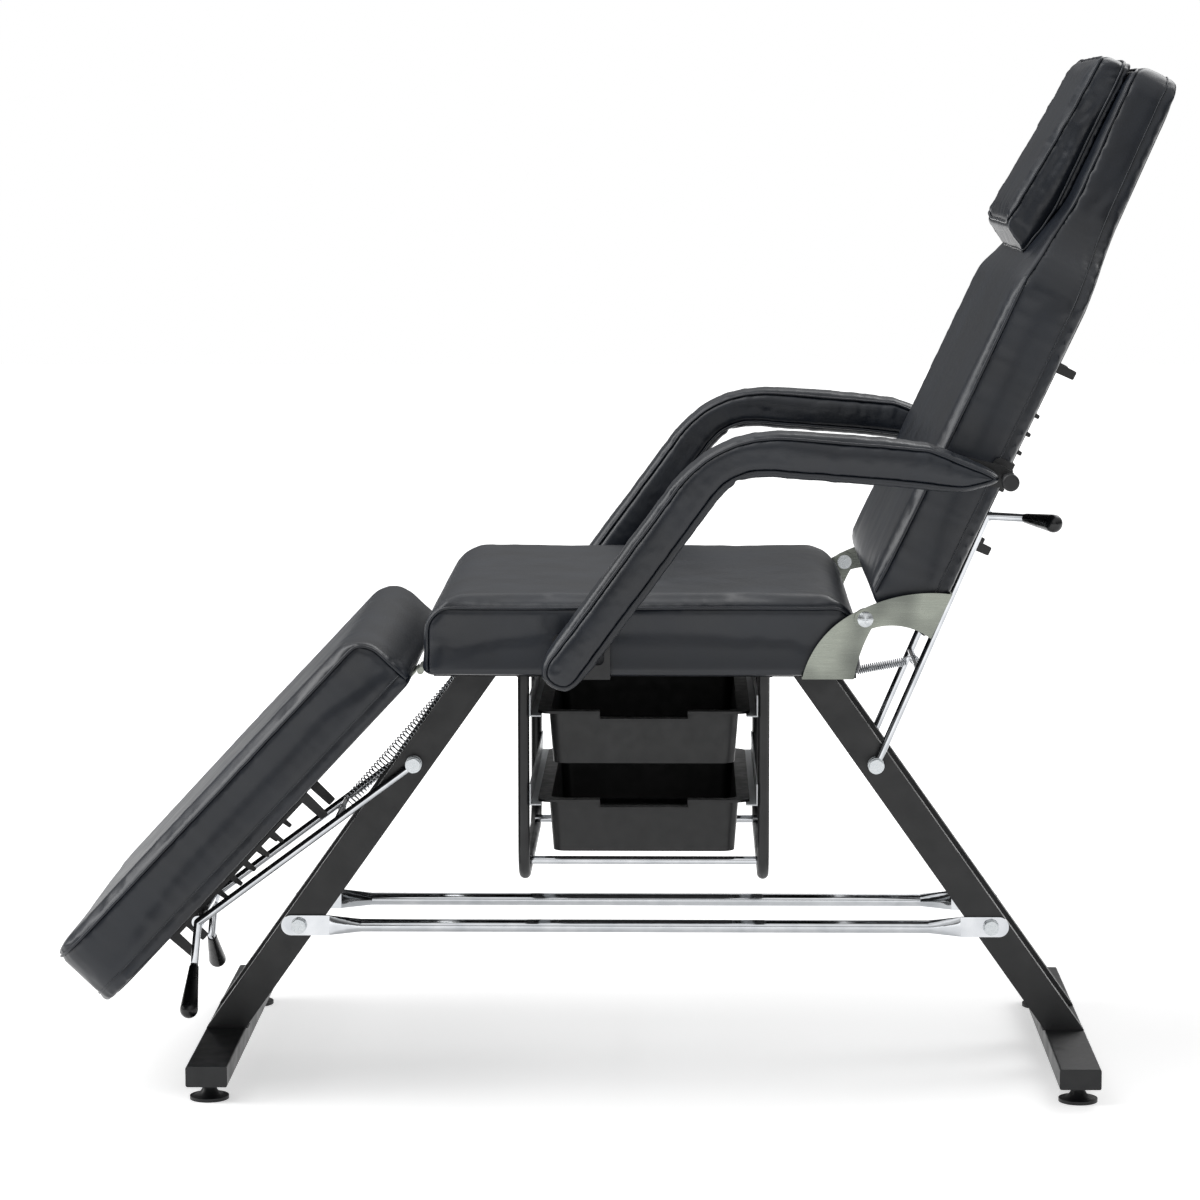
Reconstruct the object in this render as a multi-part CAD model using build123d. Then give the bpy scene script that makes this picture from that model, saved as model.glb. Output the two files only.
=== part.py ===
from build123d import *
from math import asin, cos, dist, pi, radians, sin, sqrt, tan
import os

# Millimetres, +Z up, the floor at Z = 0. The leg rest lies toward -X, the back
# toward +X, and the chair is the same on both sides of the XZ plane.
# While it is drawn, X = 0 is halfway between the two foot bars. At the end the
# whole chair is moved along X, so that the origin lies under its middle.

# Shared clearances
SEAT_GAP = 0.3
RUN_FIT = 0.08
OVERRUN = 1.0

# Cushions
CUSHION_WIDTH = 590.0
HALF = CUSHION_WIDTH / 2
BOARD_INSET = 3.0
BOARD_THICK = 15.0
SIDE_DRAW = 3.0

# Foot bars and levelling feet
FOOT_SPREAD = 1045.0
FOOT_BAR_LENGTH = 560.0
FOOT_BAR_WIDTH = 50.0
FOOT_BAR_HEIGHT = 25.0
FOOT_CLEAR = 20.5
TUBE_WALL = 1.5
TUBE_ROUND = 2.5
CAP_PLATE = 2.0
CAP_TONGUE = 12.0
FOOT_INSET = 28.0
FOOT_DISC_R = 23.5
FOOT_RIM = 4.0
FOOT_NECK_R = 8.0
FOOT_WAIST_R = 11.0
FOOT_WAIST_Z = 9.0
STUD_R = 5.0
STUD_TOP_GAP = 6.0

# Legs
LEG_LEAN = 35.3
LEG_DEPTH = 40.0
LEG_TUBE_Y = 25.0
LEG_OUTER_Y = 81.0
WELD_R = 3.0

# Seat
SEAT_BASE_Z = 520.0
SEAT_FRONT_X = -263.5
SEAT_REAR_X = 259.6
SEAT_SIDE_HEIGHT = 83.0
SEAT_CROWN = 11.0
PUFF_WIDTH = 26.0
SEAT_END_ROUND = 48.0
FRAME_TUBE = 25.0
FRAME_FRONT_X = -236.0
FRAME_REAR_X = 255.0
FRAME_CROSS_HALF = 128.0
TAB_DROP = 18.0
TAB_WIDTH = 18.0
TAB_THICK = 3.0
TAB_GAP = 14.0
TAB_PIN_SHARE = 0.6

# Stretchers between the legs
STRETCHER_Z = 176.5
STRETCHER_R = 8.0
STRETCHER_WALL = 1.2
STRETCHER_FLAT_HEIGHT = 25.0
STRETCHER_FLAT_THICK = 4.0
STRETCHER_FLAT_OUT = 22.0
STRETCHER_FLAT_IN = 38.0
STRETCHER_BLEND = 40.0

# Hex bolts
BOLT_R = 5.0
BOLT_FLATS = 17.0
BOLT_HEAD = 6.4
WASHER_R = 10.0
WASHER_THICK = 2.0

# Tray unit
HOOP_X = 144.6
HOOP_R = 7.0
HOOP_HALF_Y = 200.0
HOOP_BASE_Z = 259.0
HOOP_BEND = 42.0
HOOP_INSIDE = 5.2
BAR_R = 5.0
BAR_Y = 142.0
TRAY_HALF_X = 128.0
TRAY_LENGTH = 392.0
TRAY_DEPTH = 66.0
TRAY_WALL = 2.5
TRAY_LIP = 13.0
TRAY_LIP_THICK = 3.0
TRAY_TAPER = 5.0
TRAY_CORNER = 16.0
TRAY_FLOOR_ROUND = 6.0
TRAY_UPPER_RIM_Z = 463.0
TRAY_LOWER_RIM_Z = 355.0
GRIP_NOTCH_WIDTH = 106.0
GRIP_NOTCH_DROP = 9.0
RAIL_SHEET = 1.5
RAIL_SHELF = 14.0
RAIL_WEB = 26.0
TRAY_TRAVEL = 250.0

# Back hinge
PIVOT_X = 261.2
PIVOT_Z = 589.0
PLATE_SHEET = 2.5
LOWER_PLATE_Y = 298.0
UPPER_PLATE_Y = 301.0
EYE_R = 13.0
RIVET_R = 5.0
RIVET_HEAD_R = 9.3
RIVET_DOME = 3.4
CROSS_CUT = 1.6
CROSS_LENGTH = 8.0
LOWER_PLATE_REACH = 74.0
LOWER_PLATE_FOOT = 61.0
LOWER_PLATE_BOW = 12.0
UPPER_PLATE_BOW = 9.0
UPPER_PLATE_TOP = 58.0
UPPER_PLATE_LOW = 4.0
FLANGE = 28.0

# Back
BACK_LEAN = 25.2
BACK_FOOT_X = 334.4
BACK_FOOT_Z = 563.6
BACK_LENGTH = 726.0
BACK_THICK = 83.0
HEAD_THICK = 62.0
BACK_CROWN = 5.0
BACK_TOE_ROUND = 30.0
BACK_TOP_ROUND = 24.0
BACK_HEM = 8.0
SHOULDER_START = 427.0
SHOULDER_END = 535.0
SHOULDER_ROUND = 124.0
NECK_HALF = 200.0
CROWN_HALF = 158.0
CROWN_CORNER = 46.0
BACK_BOARD_FOOT = 12.0
RECLINE_DEG = 64.8
RECLINE_STRUT_RATIO = 0.744
RECLINE_ARM_RATIO = -0.602

# Pillow
PILLOW_HALF = 148.0
PILLOW_FOOT = 438.0
PILLOW_HEAD = 718.0
PILLOW_LAP = 8.0
PILLOW_FRONT_OUT = 120.0
PILLOW_HEAD_THICK = 40.0
PILLOW_CHIN = 40.0
PILLOW_CORNER = 14.0
PILLOW_PLAN_ROUND = 30.0
PILLOW_TRAVEL = 120.0

# Leg rest, hinged under the front of the seat
LEG_REST_DROP = 46.97
LEG_REST_LENGTH = 551.0
LEG_REST_KNEE_THICK = 79.0
LEG_REST_TOE_THICK = 79.0
KNEE_ROUND = 36.0
TOE_ROUND = 14.0
TOE_PLAN_ROUND = 55.0
LEG_REST_CROWN = 8.0
KNEE_X = -271.7
KNEE_Z = 517.6
HINGE_X = -267.5
HINGE_Z = 515.0
KNUCKLE_R = 4.0
KNUCKLE_LENGTH = 60.0
KNUCKLE_PIN_R = 2.0
HINGE_Y = 190.0
LEAF_THICK = 2.0
LEAF_LENGTH = 30.0
LEG_LIFT_DEG = 46.97
LEG_STRUT_RATIO = 1.14

# Racks, one part used four times
RACK_LENGTH = 245.0
RACK_Y = 52.0
RACK_SHEET = 3.0
RACK_FLANGE = 24.0
RACK_TIP = 32.5
RACK_LOW_TIP = 22.5
RACK_FINGER = 50.0
RACK_FINGER_WIDTH = 9.0
RACK_FINGER_OUT = 5.0
RACK_FINGER_TAPER = 2.0
RACK_PITCH = 25.0
RACK_REST = 43.0
RACK_TEETH = 6
TOOTH_FOOT = 9.0
TOOTH_TIP = 5.0
TOOTH_LEAN = 2.5
LEG_RACK_START = 483.0
BACK_RACK_START = 107.0

# Struts
STRUT_PIVOT_Z = 380.0
STRUT_R = 5.0
STRUT_Y = 88.0
STRUT_EYE_R = 9.5
STRUT_EYE_THICK = 9.4
STRUT_COLLAR_R = 8.0
STRUT_COLLAR = 12.0
ROD_OUT = 23.0
FRONT_HOOK_SHARE = 0.357
REAR_HOOK_SHARE = 0.385
HOOK_ROD_R = 4.0
HANDLE_DROP = 52.0
HANDLE_OUT = 46.0
GRIP_LENGTH = 78.0
GRIP_SMALL_R = 6.0
GRIP_BIG_R = 11.0
GRIP_TILT = 52.0
REAR_GRIP_TILT = 66.0
GRIP_BORE = 30.0

# Springs
FRONT_COIL_R = 7.5
FRONT_WIRE_R = 0.8
FRONT_TURNS = 42
REAR_COIL_R = 5.0
REAR_WIRE_R = 0.8
REAR_TURNS = 24
SPRING_HOOK_TURN = 290.0

# Armrests
ARM_Y = 375.0
ARM_WIDTH = 76.0
ARM_THICK = 52.0
ARM_ROUND = 17.0
ARM_FOOT_X = -91.0
ARM_FOOT_Z = 541.0
ARM_BEND_X = 96.0
ARM_BEND_Z = 795.0
ARM_REST_X = 352.0
ARM_REST_Z = 776.0
ARM_TIP_X = 412.0
ARM_TIP_Z = 762.0
ARM_BEND_R = 62.0
ARM_TAIL_R = 150.0
ARM_TAIL_TOP = [(325.0, 804.5), (400.0, 774.0), (414.0, 765.0)]
ARM_TAIL_LOW = [(414.0, 759.0), (392.0, 751.0), (362.0, 745.0)]
ARM_BAR_THICK = 6.0
ARM_BAR_WIDTH = 26.0
ARM_BAR_DEEP = 8.0
ARM_PIVOT_X = 421.0
ARM_PIVOT_Z = 760.0
ARM_PIN_X = -88.0
ARM_PIN_Z = 545.0
ARM_PIN_R = 5.0
ARM_STUD_R = 6.0
ARM_STUD_CAP_R = 10.0
ARM_STUD_CAP = 14.0
ARM_STUD_DOME = 3.0
BRACKET_SHEET = 3.0
BRACKET_HALF = 16.0
BRACKET_WRAP = 50.0
SLOT_PLATE_THICK = 4.0
SLOT_PLATE_Y = 299.0
SLOT_PLAY = 6.0
SLOT_RIM = 7.0
SLOT_FOOT = 56.0
ARM_STEPS = 4

# Worked out from the sizes above
FOOT_TOP = FOOT_CLEAR + FOOT_BAR_HEIGHT
FRAME_BASE_Z = SEAT_BASE_Z - FRAME_TUBE
STRUT_PIVOT_X = FOOT_SPREAD / 2 - (STRUT_PIVOT_Z - FOOT_TOP) * tan(radians(LEG_LEAN))
STRETCHER_BOLT_X = FOOT_SPREAD / 2 - (STRETCHER_Z - FOOT_TOP) * tan(radians(LEG_LEAN))
LEG_MID_Y = LEG_OUTER_Y - LEG_TUBE_Y / 2
TAB_PIN_Z = FRAME_BASE_Z - TAB_DROP * TAB_PIN_SHARE
FRONT_TAB = (FRAME_FRONT_X + TAB_WIDTH / 2, TAB_PIN_Z)
REAR_TAB = (FRAME_REAR_X, TAB_PIN_Z)

parts = {}


# Frames in the side view
# Each one has a long direction and an outward direction, both in the XZ plane.
WORLD = Plane.XZ


def side_frame(x, z, along, out):
    turn = along[1] * out[0] - along[0] * out[1]
    return Plane(origin=(x, 0, z), x_dir=(along[0], 0, along[1]), z_dir=(0, turn, 0))


BACK_ALONG = (sin(radians(BACK_LEAN)), cos(radians(BACK_LEAN)))
BACK_OUT = (BACK_ALONG[1], -BACK_ALONG[0])
BACK = side_frame(BACK_FOOT_X, BACK_FOOT_Z, BACK_ALONG, BACK_OUT)

LEG_ALONG = (-cos(radians(LEG_REST_DROP)), -sin(radians(LEG_REST_DROP)))
LEG_OUT = (LEG_ALONG[1], -LEG_ALONG[0])
LEG_REST = side_frame(KNEE_X, KNEE_Z, LEG_ALONG, LEG_OUT)


def spot(frame, along, out):
    """The X and Z of a point given in a side frame."""
    point = frame.from_local_coords(Vector(along, out, 0))
    return point.X, point.Z


def turned(point, centre, degrees):
    """A point turned about a centre, positive from +Z toward +X."""
    angle = radians(degrees)
    x, z = point[0] - centre[0], point[1] - centre[1]
    return (centre[0] + x * cos(angle) + z * sin(angle),
            centre[1] - x * sin(angle) + z * cos(angle))


# Shapes
def slab(frame, sketch, y_low, y_high):
    """A side view outline, made solid between two places along Y."""
    start = y_low if frame.z_dir.Y > 0 else -y_high
    return extrude(frame.offset(start) * sketch, amount=y_high - y_low)


def outline(points, rounds={}):
    """A closed outline, with some of its corners rounded."""
    shape = make_face(Polyline(*points, close=True))
    for corner, radius in rounds.items():
        vertex = shape.vertices().sort_by_distance(Vector(*points[corner], 0))[0]
        shape = fillet([vertex], radius)
    return shape


def rod(start, end, radius):
    start, end = Vector(*start), Vector(*end)
    return Part() + Solid.make_cylinder(radius, (end - start).length, Plane(start, z_dir=end - start))


def along_y(x, z, radius, y_low, y_high):
    return rod((x, y_low, z), (x, y_high, z), radius)


def block(x_low, x_high, y_low, y_high, z_low, z_high):
    size = Box(x_high - x_low, y_high - y_low, z_high - z_low, align=(Align.MIN, Align.MIN, Align.MIN))
    return Pos(x_low, y_low, z_low) * size


def square_tube(x_low, x_high, y_low, y_high, z_low, z_high, axis):
    """A square tube along X or Y, with rounded edges and open ends."""
    tube = block(x_low, x_high, y_low, y_high, z_low, z_high)
    tube = fillet(tube.edges().filter_by(axis), TUBE_ROUND)
    inset_x = 0 if axis == Axis.X else TUBE_WALL
    inset_y = 0 if axis == Axis.Y else TUBE_WALL
    core = block(x_low + inset_x, x_high - inset_x, y_low + inset_y, y_high - inset_y,
                 z_low + TUBE_WALL, z_high - TUBE_WALL)
    return tube - core


def far(shape):
    """The same piece on the far side."""
    return mirror(shape, about=Plane.XZ)


def add_pair(name, near_shape):
    parts[name + "_near"] = near_shape
    parts[name + "_far"] = far(near_shape)


def hex_bolt(x, z, y_seat, y_end):
    """A bolt from the near side: washer, hex head, shank and a nut at its end."""
    washer = along_y(x, z, WASHER_R, y_seat - WASHER_THICK, y_seat)
    shank = along_y(x, z, BOLT_R, y_seat - WASHER_THICK, y_end)
    hexagon = Pos(x, z) * RegularPolygon(BOLT_FLATS / 2, 6, major_radius=False, rotation=20)
    head = slab(WORLD, hexagon, y_seat - WASHER_THICK - BOLT_HEAD, y_seat - WASHER_THICK)
    head_round = along_y(x, z, BOLT_FLATS / sqrt(3) - WELD_R / 4, y_seat - WASHER_THICK - BOLT_HEAD,
                         y_seat - WASHER_THICK)
    nut = slab(WORLD, hexagon, y_end - BOLT_HEAD - SEAT_GAP, y_end - SEAT_GAP)
    return washer + shank + (head & head_round) + nut


# Base: foot bars, caps, levelling feet
def foot_bar(side):
    x = side * FOOT_SPREAD / 2
    half_x, half_y = FOOT_BAR_WIDTH / 2, FOOT_BAR_LENGTH / 2
    bar = square_tube(x - half_x, x + half_x, -half_y, half_y, FOOT_CLEAR, FOOT_TOP, Axis.Y)
    for foot_y in (-half_y + FOOT_INSET, half_y - FOOT_INSET):
        bar -= rod((x, foot_y, FOOT_CLEAR - OVERRUN), (x, foot_y, FOOT_CLEAR + TUBE_WALL + OVERRUN),
                   STUD_R + SEAT_GAP)
    return bar


def foot_caps(side):
    """The plastic plugs in both ends of a foot bar."""
    x = side * FOOT_SPREAD / 2
    half_x, half_y = FOOT_BAR_WIDTH / 2, FOOT_BAR_LENGTH / 2
    plate = block(x - half_x, x + half_x, -half_y - CAP_PLATE, -half_y, FOOT_CLEAR, FOOT_TOP)
    plate = fillet(plate.edges().filter_by(Axis.Y), TUBE_ROUND)
    inset = TUBE_WALL + SEAT_GAP
    tongue = block(x - half_x + inset, x + half_x - inset, -half_y, -half_y + CAP_TONGUE,
                   FOOT_CLEAR + inset, FOOT_TOP - inset)
    plug = plate + tongue
    return plug + far(plug)


def levelling_foot(side, end):
    """A flared disc foot on a threaded stud."""
    neck_top = FOOT_CLEAR - SEAT_GAP
    stud_top = FOOT_TOP - STUD_TOP_GAP
    flare = make_face(
        Polyline((0, 0), (FOOT_DISC_R, 0), (FOOT_DISC_R, FOOT_RIM))
        + ThreePointArc((FOOT_DISC_R, FOOT_RIM), (FOOT_WAIST_R, FOOT_WAIST_Z), (FOOT_NECK_R, neck_top))
        + Polyline((FOOT_NECK_R, neck_top), (STUD_R, neck_top), (STUD_R, stud_top), (0, stud_top), (0, 0))
    )
    foot = revolve(Plane.XZ * flare, Axis.Z)
    return Pos(side * FOOT_SPREAD / 2, end * (FOOT_BAR_LENGTH / 2 - FOOT_INSET)) * foot


SIDES = {"front": -1, "rear": 1}
ENDS = {"near": -1, "far": 1}
for place, side in SIDES.items():
    parts["foot_bar_" + place] = foot_bar(side)
    parts["foot_bar_caps_" + place] = foot_caps(side)
    for end_name, end in ENDS.items():
        parts["levelling_foot_" + place + "_" + end_name] = levelling_foot(side, end)


# Legs
def leg(side):
    """A leaning rectangular tube, cut level at both ends, with the bolt holes through it."""
    lean = tan(radians(LEG_LEAN))
    half = LEG_DEPTH / 2 / cos(radians(LEG_LEAN))
    wall = TUBE_WALL / cos(radians(LEG_LEAN))
    foot_x = FOOT_SPREAD / 2
    top_x = foot_x - (FRAME_BASE_Z - FOOT_TOP) * lean
    corners = [(foot_x - half, FOOT_TOP), (foot_x + half, FOOT_TOP),
               (top_x + half, FRAME_BASE_Z), (top_x - half, FRAME_BASE_Z)]
    inner = [(foot_x - half + wall, FOOT_TOP), (foot_x + half - wall, FOOT_TOP),
             (top_x + half - wall, FRAME_BASE_Z), (top_x - half + wall, FRAME_BASE_Z)]
    skin = slab(WORLD, outline(corners), -LEG_OUTER_Y, -LEG_OUTER_Y + LEG_TUBE_Y)
    skin -= slab(WORLD, outline(inner), -LEG_OUTER_Y + TUBE_WALL, -LEG_OUTER_Y + LEG_TUBE_Y - TUBE_WALL)
    for x, z in ((STRETCHER_BOLT_X, STRETCHER_Z), (STRUT_PIVOT_X, STRUT_PIVOT_Z)):
        skin -= along_y(x, z, BOLT_R + RUN_FIT, -LEG_OUTER_Y - OVERRUN, -LEG_OUTER_Y + LEG_TUBE_Y + OVERRUN)
    bead = slab(WORLD, outline([(foot_x - half - WELD_R, FOOT_TOP), (foot_x - half, FOOT_TOP),
                                (foot_x - half, FOOT_TOP + WELD_R)]), -LEG_OUTER_Y, -LEG_OUTER_Y + LEG_TUBE_Y)
    post = skin + bead
    return post if side > 0 else mirror(post, about=Plane.YZ)


for place, side in SIDES.items():
    add_pair("leg_" + place, leg(side))


# Seat frame
def seat_frame():
    """Two long rails over the legs, four cross rails, and a tab for each spring."""
    rails = Part()
    for side in (-1, 1):
        low_y = LEG_MID_Y * side - LEG_TUBE_Y / 2
        rails += square_tube(FRAME_FRONT_X, FRAME_REAR_X, low_y, low_y + LEG_TUBE_Y,
                             FRAME_BASE_Z, SEAT_BASE_Z, Axis.X)
    for x in (FRAME_FRONT_X, -HOOP_X - FRAME_TUBE / 2, HOOP_X - FRAME_TUBE / 2, FRAME_REAR_X - FRAME_TUBE):
        for side in (-1, 1):
            inner, outer = LEG_OUTER_Y * side, FRAME_CROSS_HALF * side
            rails += square_tube(x, x + FRAME_TUBE, min(inner, outer), max(inner, outer),
                                 FRAME_BASE_Z, SEAT_BASE_Z, Axis.Y)
        gap_half = LEG_OUTER_Y - LEG_TUBE_Y
        rails += square_tube(x, x + FRAME_TUBE, -gap_half, gap_half, FRAME_BASE_Z, SEAT_BASE_Z, Axis.Y)
    for x, z in (FRONT_TAB, REAR_TAB):
        for side in (-1, 1):
            low_y = side * (TAB_GAP + TAB_THICK) / 2 - TAB_THICK / 2
            rails += block(x - TAB_WIDTH / 2, x + TAB_WIDTH / 2, low_y, low_y + TAB_THICK,
                           FRAME_BASE_Z - TAB_DROP, FRAME_BASE_Z)
        rails += along_y(x, z, HOOK_ROD_R, -TAB_GAP / 2, TAB_GAP / 2)
    return rails


def seat_board():
    board = block(SEAT_FRONT_X + BOARD_INSET, SEAT_REAR_X - BOARD_INSET, -HALF + BOARD_INSET,
                  HALF - BOARD_INSET, SEAT_BASE_Z, SEAT_BASE_Z + BOARD_THICK)
    return board


def cheek_profile(half, base, side_height, crown, up=1):
    """A cushion's cross-section: sides drawn in, the top puffed up beside its seams."""
    shoulder = base + up * side_height
    top = shoulder + up * crown
    middle = (base + shoulder) / 2
    radius = (PUFF_WIDTH ** 2 + crown ** 2) / (2 * crown)
    turn = asin(PUFF_WIDTH / radius) / 2
    inner = half - PUFF_WIDTH
    puff = (inner + radius * sin(turn), top - up * radius * (1 - cos(turn)))
    return make_face(
        Line((-half, base), (half, base))
        + ThreePointArc((half, base), (half - SIDE_DRAW, middle), (half, shoulder))
        + ThreePointArc((half, shoulder), puff, (inner, top))
        + Line((inner, top), (-inner, top))
        + ThreePointArc((-inner, top), (-puff[0], puff[1]), (-half, shoulder))
        + ThreePointArc((-half, shoulder), (-half + SIDE_DRAW, middle), (-half, base))
    )


def seat_cushion():
    """Crowned across, and rolled over at the front and rear."""
    top = SEAT_BASE_Z + SEAT_SIDE_HEIGHT + SEAT_CROWN
    side = outline([(SEAT_FRONT_X, SEAT_BASE_Z), (SEAT_REAR_X, SEAT_BASE_Z), (SEAT_REAR_X, top),
                    (SEAT_FRONT_X, top)], {2: SEAT_END_ROUND, 3: SEAT_END_ROUND})
    cross = Plane.YZ.offset(SEAT_FRONT_X) * cheek_profile(HALF, SEAT_BASE_Z, SEAT_SIDE_HEIGHT, SEAT_CROWN)
    body = slab(WORLD, side, -HALF, HALF) & extrude(cross, amount=SEAT_REAR_X - SEAT_FRONT_X)
    return body - seat_board()


parts["seat_frame"] = seat_frame()
parts["seat_board"] = seat_board()
parts["seat_cushion"] = seat_cushion()


# Stretchers
def stretcher():
    """A round tube with its ends pressed flat and bolted outside the legs."""
    y = -LEG_OUTER_Y - STRETCHER_FLAT_THICK / 2
    flat_in = STRETCHER_BOLT_X - STRETCHER_FLAT_IN
    flat_out = STRETCHER_BOLT_X + STRETCHER_FLAT_OUT
    round_half = flat_in - STRETCHER_BLEND
    tube = rod((-round_half, y, STRETCHER_Z), (round_half, y, STRETCHER_Z), STRETCHER_R)
    tube -= rod((-round_half, y, STRETCHER_Z), (round_half, y, STRETCHER_Z), STRETCHER_R - STRETCHER_WALL)
    low, high = STRETCHER_Z - STRETCHER_FLAT_HEIGHT / 2, STRETCHER_Z + STRETCHER_FLAT_HEIGHT / 2
    end = outline([(flat_in, low), (flat_out, low), (flat_out, high), (flat_in, high)],
                  {1: STRETCHER_FLAT_HEIGHT / 2 - SEAT_GAP, 2: STRETCHER_FLAT_HEIGHT / 2 - SEAT_GAP})
    end = slab(WORLD, end, -LEG_OUTER_Y - STRETCHER_FLAT_THICK, -LEG_OUTER_Y)
    end -= along_y(STRETCHER_BOLT_X, STRETCHER_Z, BOLT_R + RUN_FIT,
                   -LEG_OUTER_Y - STRETCHER_FLAT_THICK - OVERRUN, -LEG_OUTER_Y + OVERRUN)
    neck = Plane(origin=(round_half, y, STRETCHER_Z), x_dir=(0, 1, 0), z_dir=(1, 0, 0))
    wide = neck.offset(STRETCHER_BLEND)
    blend = loft([neck * Circle(STRETCHER_R),
                  wide * Ellipse(STRETCHER_FLAT_THICK / 2, STRETCHER_FLAT_HEIGHT / 2)])
    tip = blend + end
    return tube + tip + mirror(tip, about=Plane.YZ)


def stretcher_bolts():
    bolt = hex_bolt(STRETCHER_BOLT_X, STRETCHER_Z, -LEG_OUTER_Y - STRETCHER_FLAT_THICK - SEAT_GAP,
                    -LEG_OUTER_Y + LEG_TUBE_Y + BOLT_HEAD + 2 * SEAT_GAP)
    return bolt + mirror(bolt, about=Plane.YZ)


add_pair("stretcher", stretcher())
add_pair("stretcher_bolts", stretcher_bolts())


# Tray unit
def hoop(section):
    """A U of round tube, hung from the seat board by its two ends."""
    path = FilletPolyline((-HOOP_HALF_Y, SEAT_BASE_Z), (-HOOP_HALF_Y, HOOP_BASE_Z),
                          (HOOP_HALF_Y, HOOP_BASE_Z), (HOOP_HALF_Y, SEAT_BASE_Z), radius=HOOP_BEND)
    return sweep(Pos(0, -HOOP_HALF_Y, SEAT_BASE_Z) * section, path=Plane.YZ * path)


def tray_bars():
    """The chrome rods that stand on the bottoms of the hoops, with a saddle at each end."""
    bar_z = HOOP_BASE_Z + HOOP_R + BAR_R
    bar = rod((-HOOP_X, -BAR_Y, bar_z), (HOOP_X, -BAR_Y, bar_z), BAR_R)
    for side in (-1, 1):
        bar -= Pos(side * HOOP_X) * hoop(Circle(HOOP_R))
    return bar + far(bar)


def tray_rails(rim_z):
    """A sheet angle on each side, which carries the tray's lip."""
    outer = HOOP_X - HOOP_R - SEAT_GAP / 3
    shelf_top = rim_z - TRAY_LIP_THICK - SEAT_GAP
    low_y, high_y = -HOOP_HALF_Y - HOOP_R, HOOP_HALF_Y + HOOP_R
    shelf = block(outer - RAIL_SHELF, outer, low_y, high_y, shelf_top - RAIL_SHEET, shelf_top)
    web = block(outer - RAIL_SHEET, outer, low_y, high_y, shelf_top - RAIL_SHEET,
                shelf_top - RAIL_SHEET + RAIL_WEB)
    rail = shelf + web
    return rail + mirror(rail, about=Plane.YZ)


def tray(rim_z):
    """An open plastic box with tapered walls, a hanging lip and a finger dip at each end."""
    base_z = rim_z - TRAY_DEPTH
    half_x, half_y = TRAY_HALF_X - TRAY_LIP, TRAY_LENGTH / 2 - TRAY_LIP

    def shell(inset, z_low, z_high):
        low = Plane.XY.offset(z_low) * RectangleRounded(
            2 * (half_x - TRAY_TAPER - inset), 2 * (half_y - TRAY_TAPER - inset), TRAY_CORNER - inset)
        high = Plane.XY.offset(z_high) * RectangleRounded(
            2 * (half_x - inset), 2 * (half_y - inset), TRAY_CORNER - inset)
        return loft([low, high])

    lip = extrude(Plane.XY.offset(rim_z - TRAY_LIP_THICK)
                  * RectangleRounded(2 * TRAY_HALF_X, TRAY_LENGTH, TRAY_CORNER), amount=TRAY_LIP_THICK)
    body = shell(0, base_z, rim_z) + lip
    body -= shell(TRAY_WALL, base_z + TRAY_WALL, rim_z + OVERRUN)
    reach = TRAY_LENGTH / 2 + OVERRUN
    dip_high = rim_z + 2 * OVERRUN
    dip = block(-GRIP_NOTCH_WIDTH / 2, GRIP_NOTCH_WIDTH / 2, -reach, reach, rim_z - GRIP_NOTCH_DROP, dip_high)
    body -= dip - block(-HALF, HALF, -half_y + TRAY_TAPER, half_y - TRAY_TAPER, base_z, dip_high)
    for side in (-1, 1):
        inner, outer = side * (half_y - TRAY_WALL), side * TRAY_LENGTH / 2
        body += block(-GRIP_NOTCH_WIDTH / 2, GRIP_NOTCH_WIDTH / 2, min(inner, outer), max(inner, outer),
                      rim_z - GRIP_NOTCH_DROP - TRAY_LIP_THICK, rim_z - GRIP_NOTCH_DROP)
    return body


TRAYS = {"upper": TRAY_UPPER_RIM_Z, "lower": TRAY_LOWER_RIM_Z}
for place, side in SIDES.items():
    parts["tray_hoop_" + place] = Pos(side * HOOP_X) * hoop(Circle(HOOP_R) - Circle(HOOP_INSIDE))
parts["tray_bars"] = tray_bars()
for place, rim_z in TRAYS.items():
    parts["tray_rails_" + place] = tray_rails(rim_z)
    parts["tray_" + place] = tray(rim_z)


# Back hinge plates and rivets
def lower_plate():
    """The seat's hinge plate: a crescent from the pivot down to a flange under the seat."""
    base = SEAT_BASE_Z - PLATE_SHEET
    toe_x = PIVOT_X - LOWER_PLATE_REACH
    heel_x = toe_x + LOWER_PLATE_FOOT
    eye_left = (PIVOT_X - EYE_R * sin(radians(45)), PIVOT_Z + EYE_R * cos(radians(45)))
    eye_right = (PIVOT_X + EYE_R * sin(radians(80)), PIVOT_Z - EYE_R * cos(radians(80)))
    left_mid = ((toe_x + eye_left[0]) / 2 - LOWER_PLATE_BOW * cos(radians(45)),
                (base + eye_left[1]) / 2 + LOWER_PLATE_BOW * sin(radians(45)))
    right_mid = ((heel_x + eye_right[0]) / 2 - LOWER_PLATE_BOW / 3, (base + eye_right[1]) / 2)
    sheet = make_face(
        Line((toe_x, base), (heel_x, base))
        + ThreePointArc((heel_x, base), right_mid, eye_right)
        + ThreePointArc(eye_right, (PIVOT_X + EYE_R * sin(radians(17)), PIVOT_Z + EYE_R * cos(radians(17))),
                        eye_left)
        + ThreePointArc(eye_left, left_mid, (toe_x, base))
    )
    plate = slab(WORLD, sheet, -LOWER_PLATE_Y - PLATE_SHEET, -LOWER_PLATE_Y)
    plate += block(toe_x, heel_x, -LOWER_PLATE_Y, -LOWER_PLATE_Y + FLANGE, base, SEAT_BASE_Z)
    return plate - along_y(PIVOT_X, PIVOT_Z, RIVET_R, -LOWER_PLATE_Y - PLATE_SHEET - OVERRUN,
                           -LOWER_PLATE_Y + OVERRUN)


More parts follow.
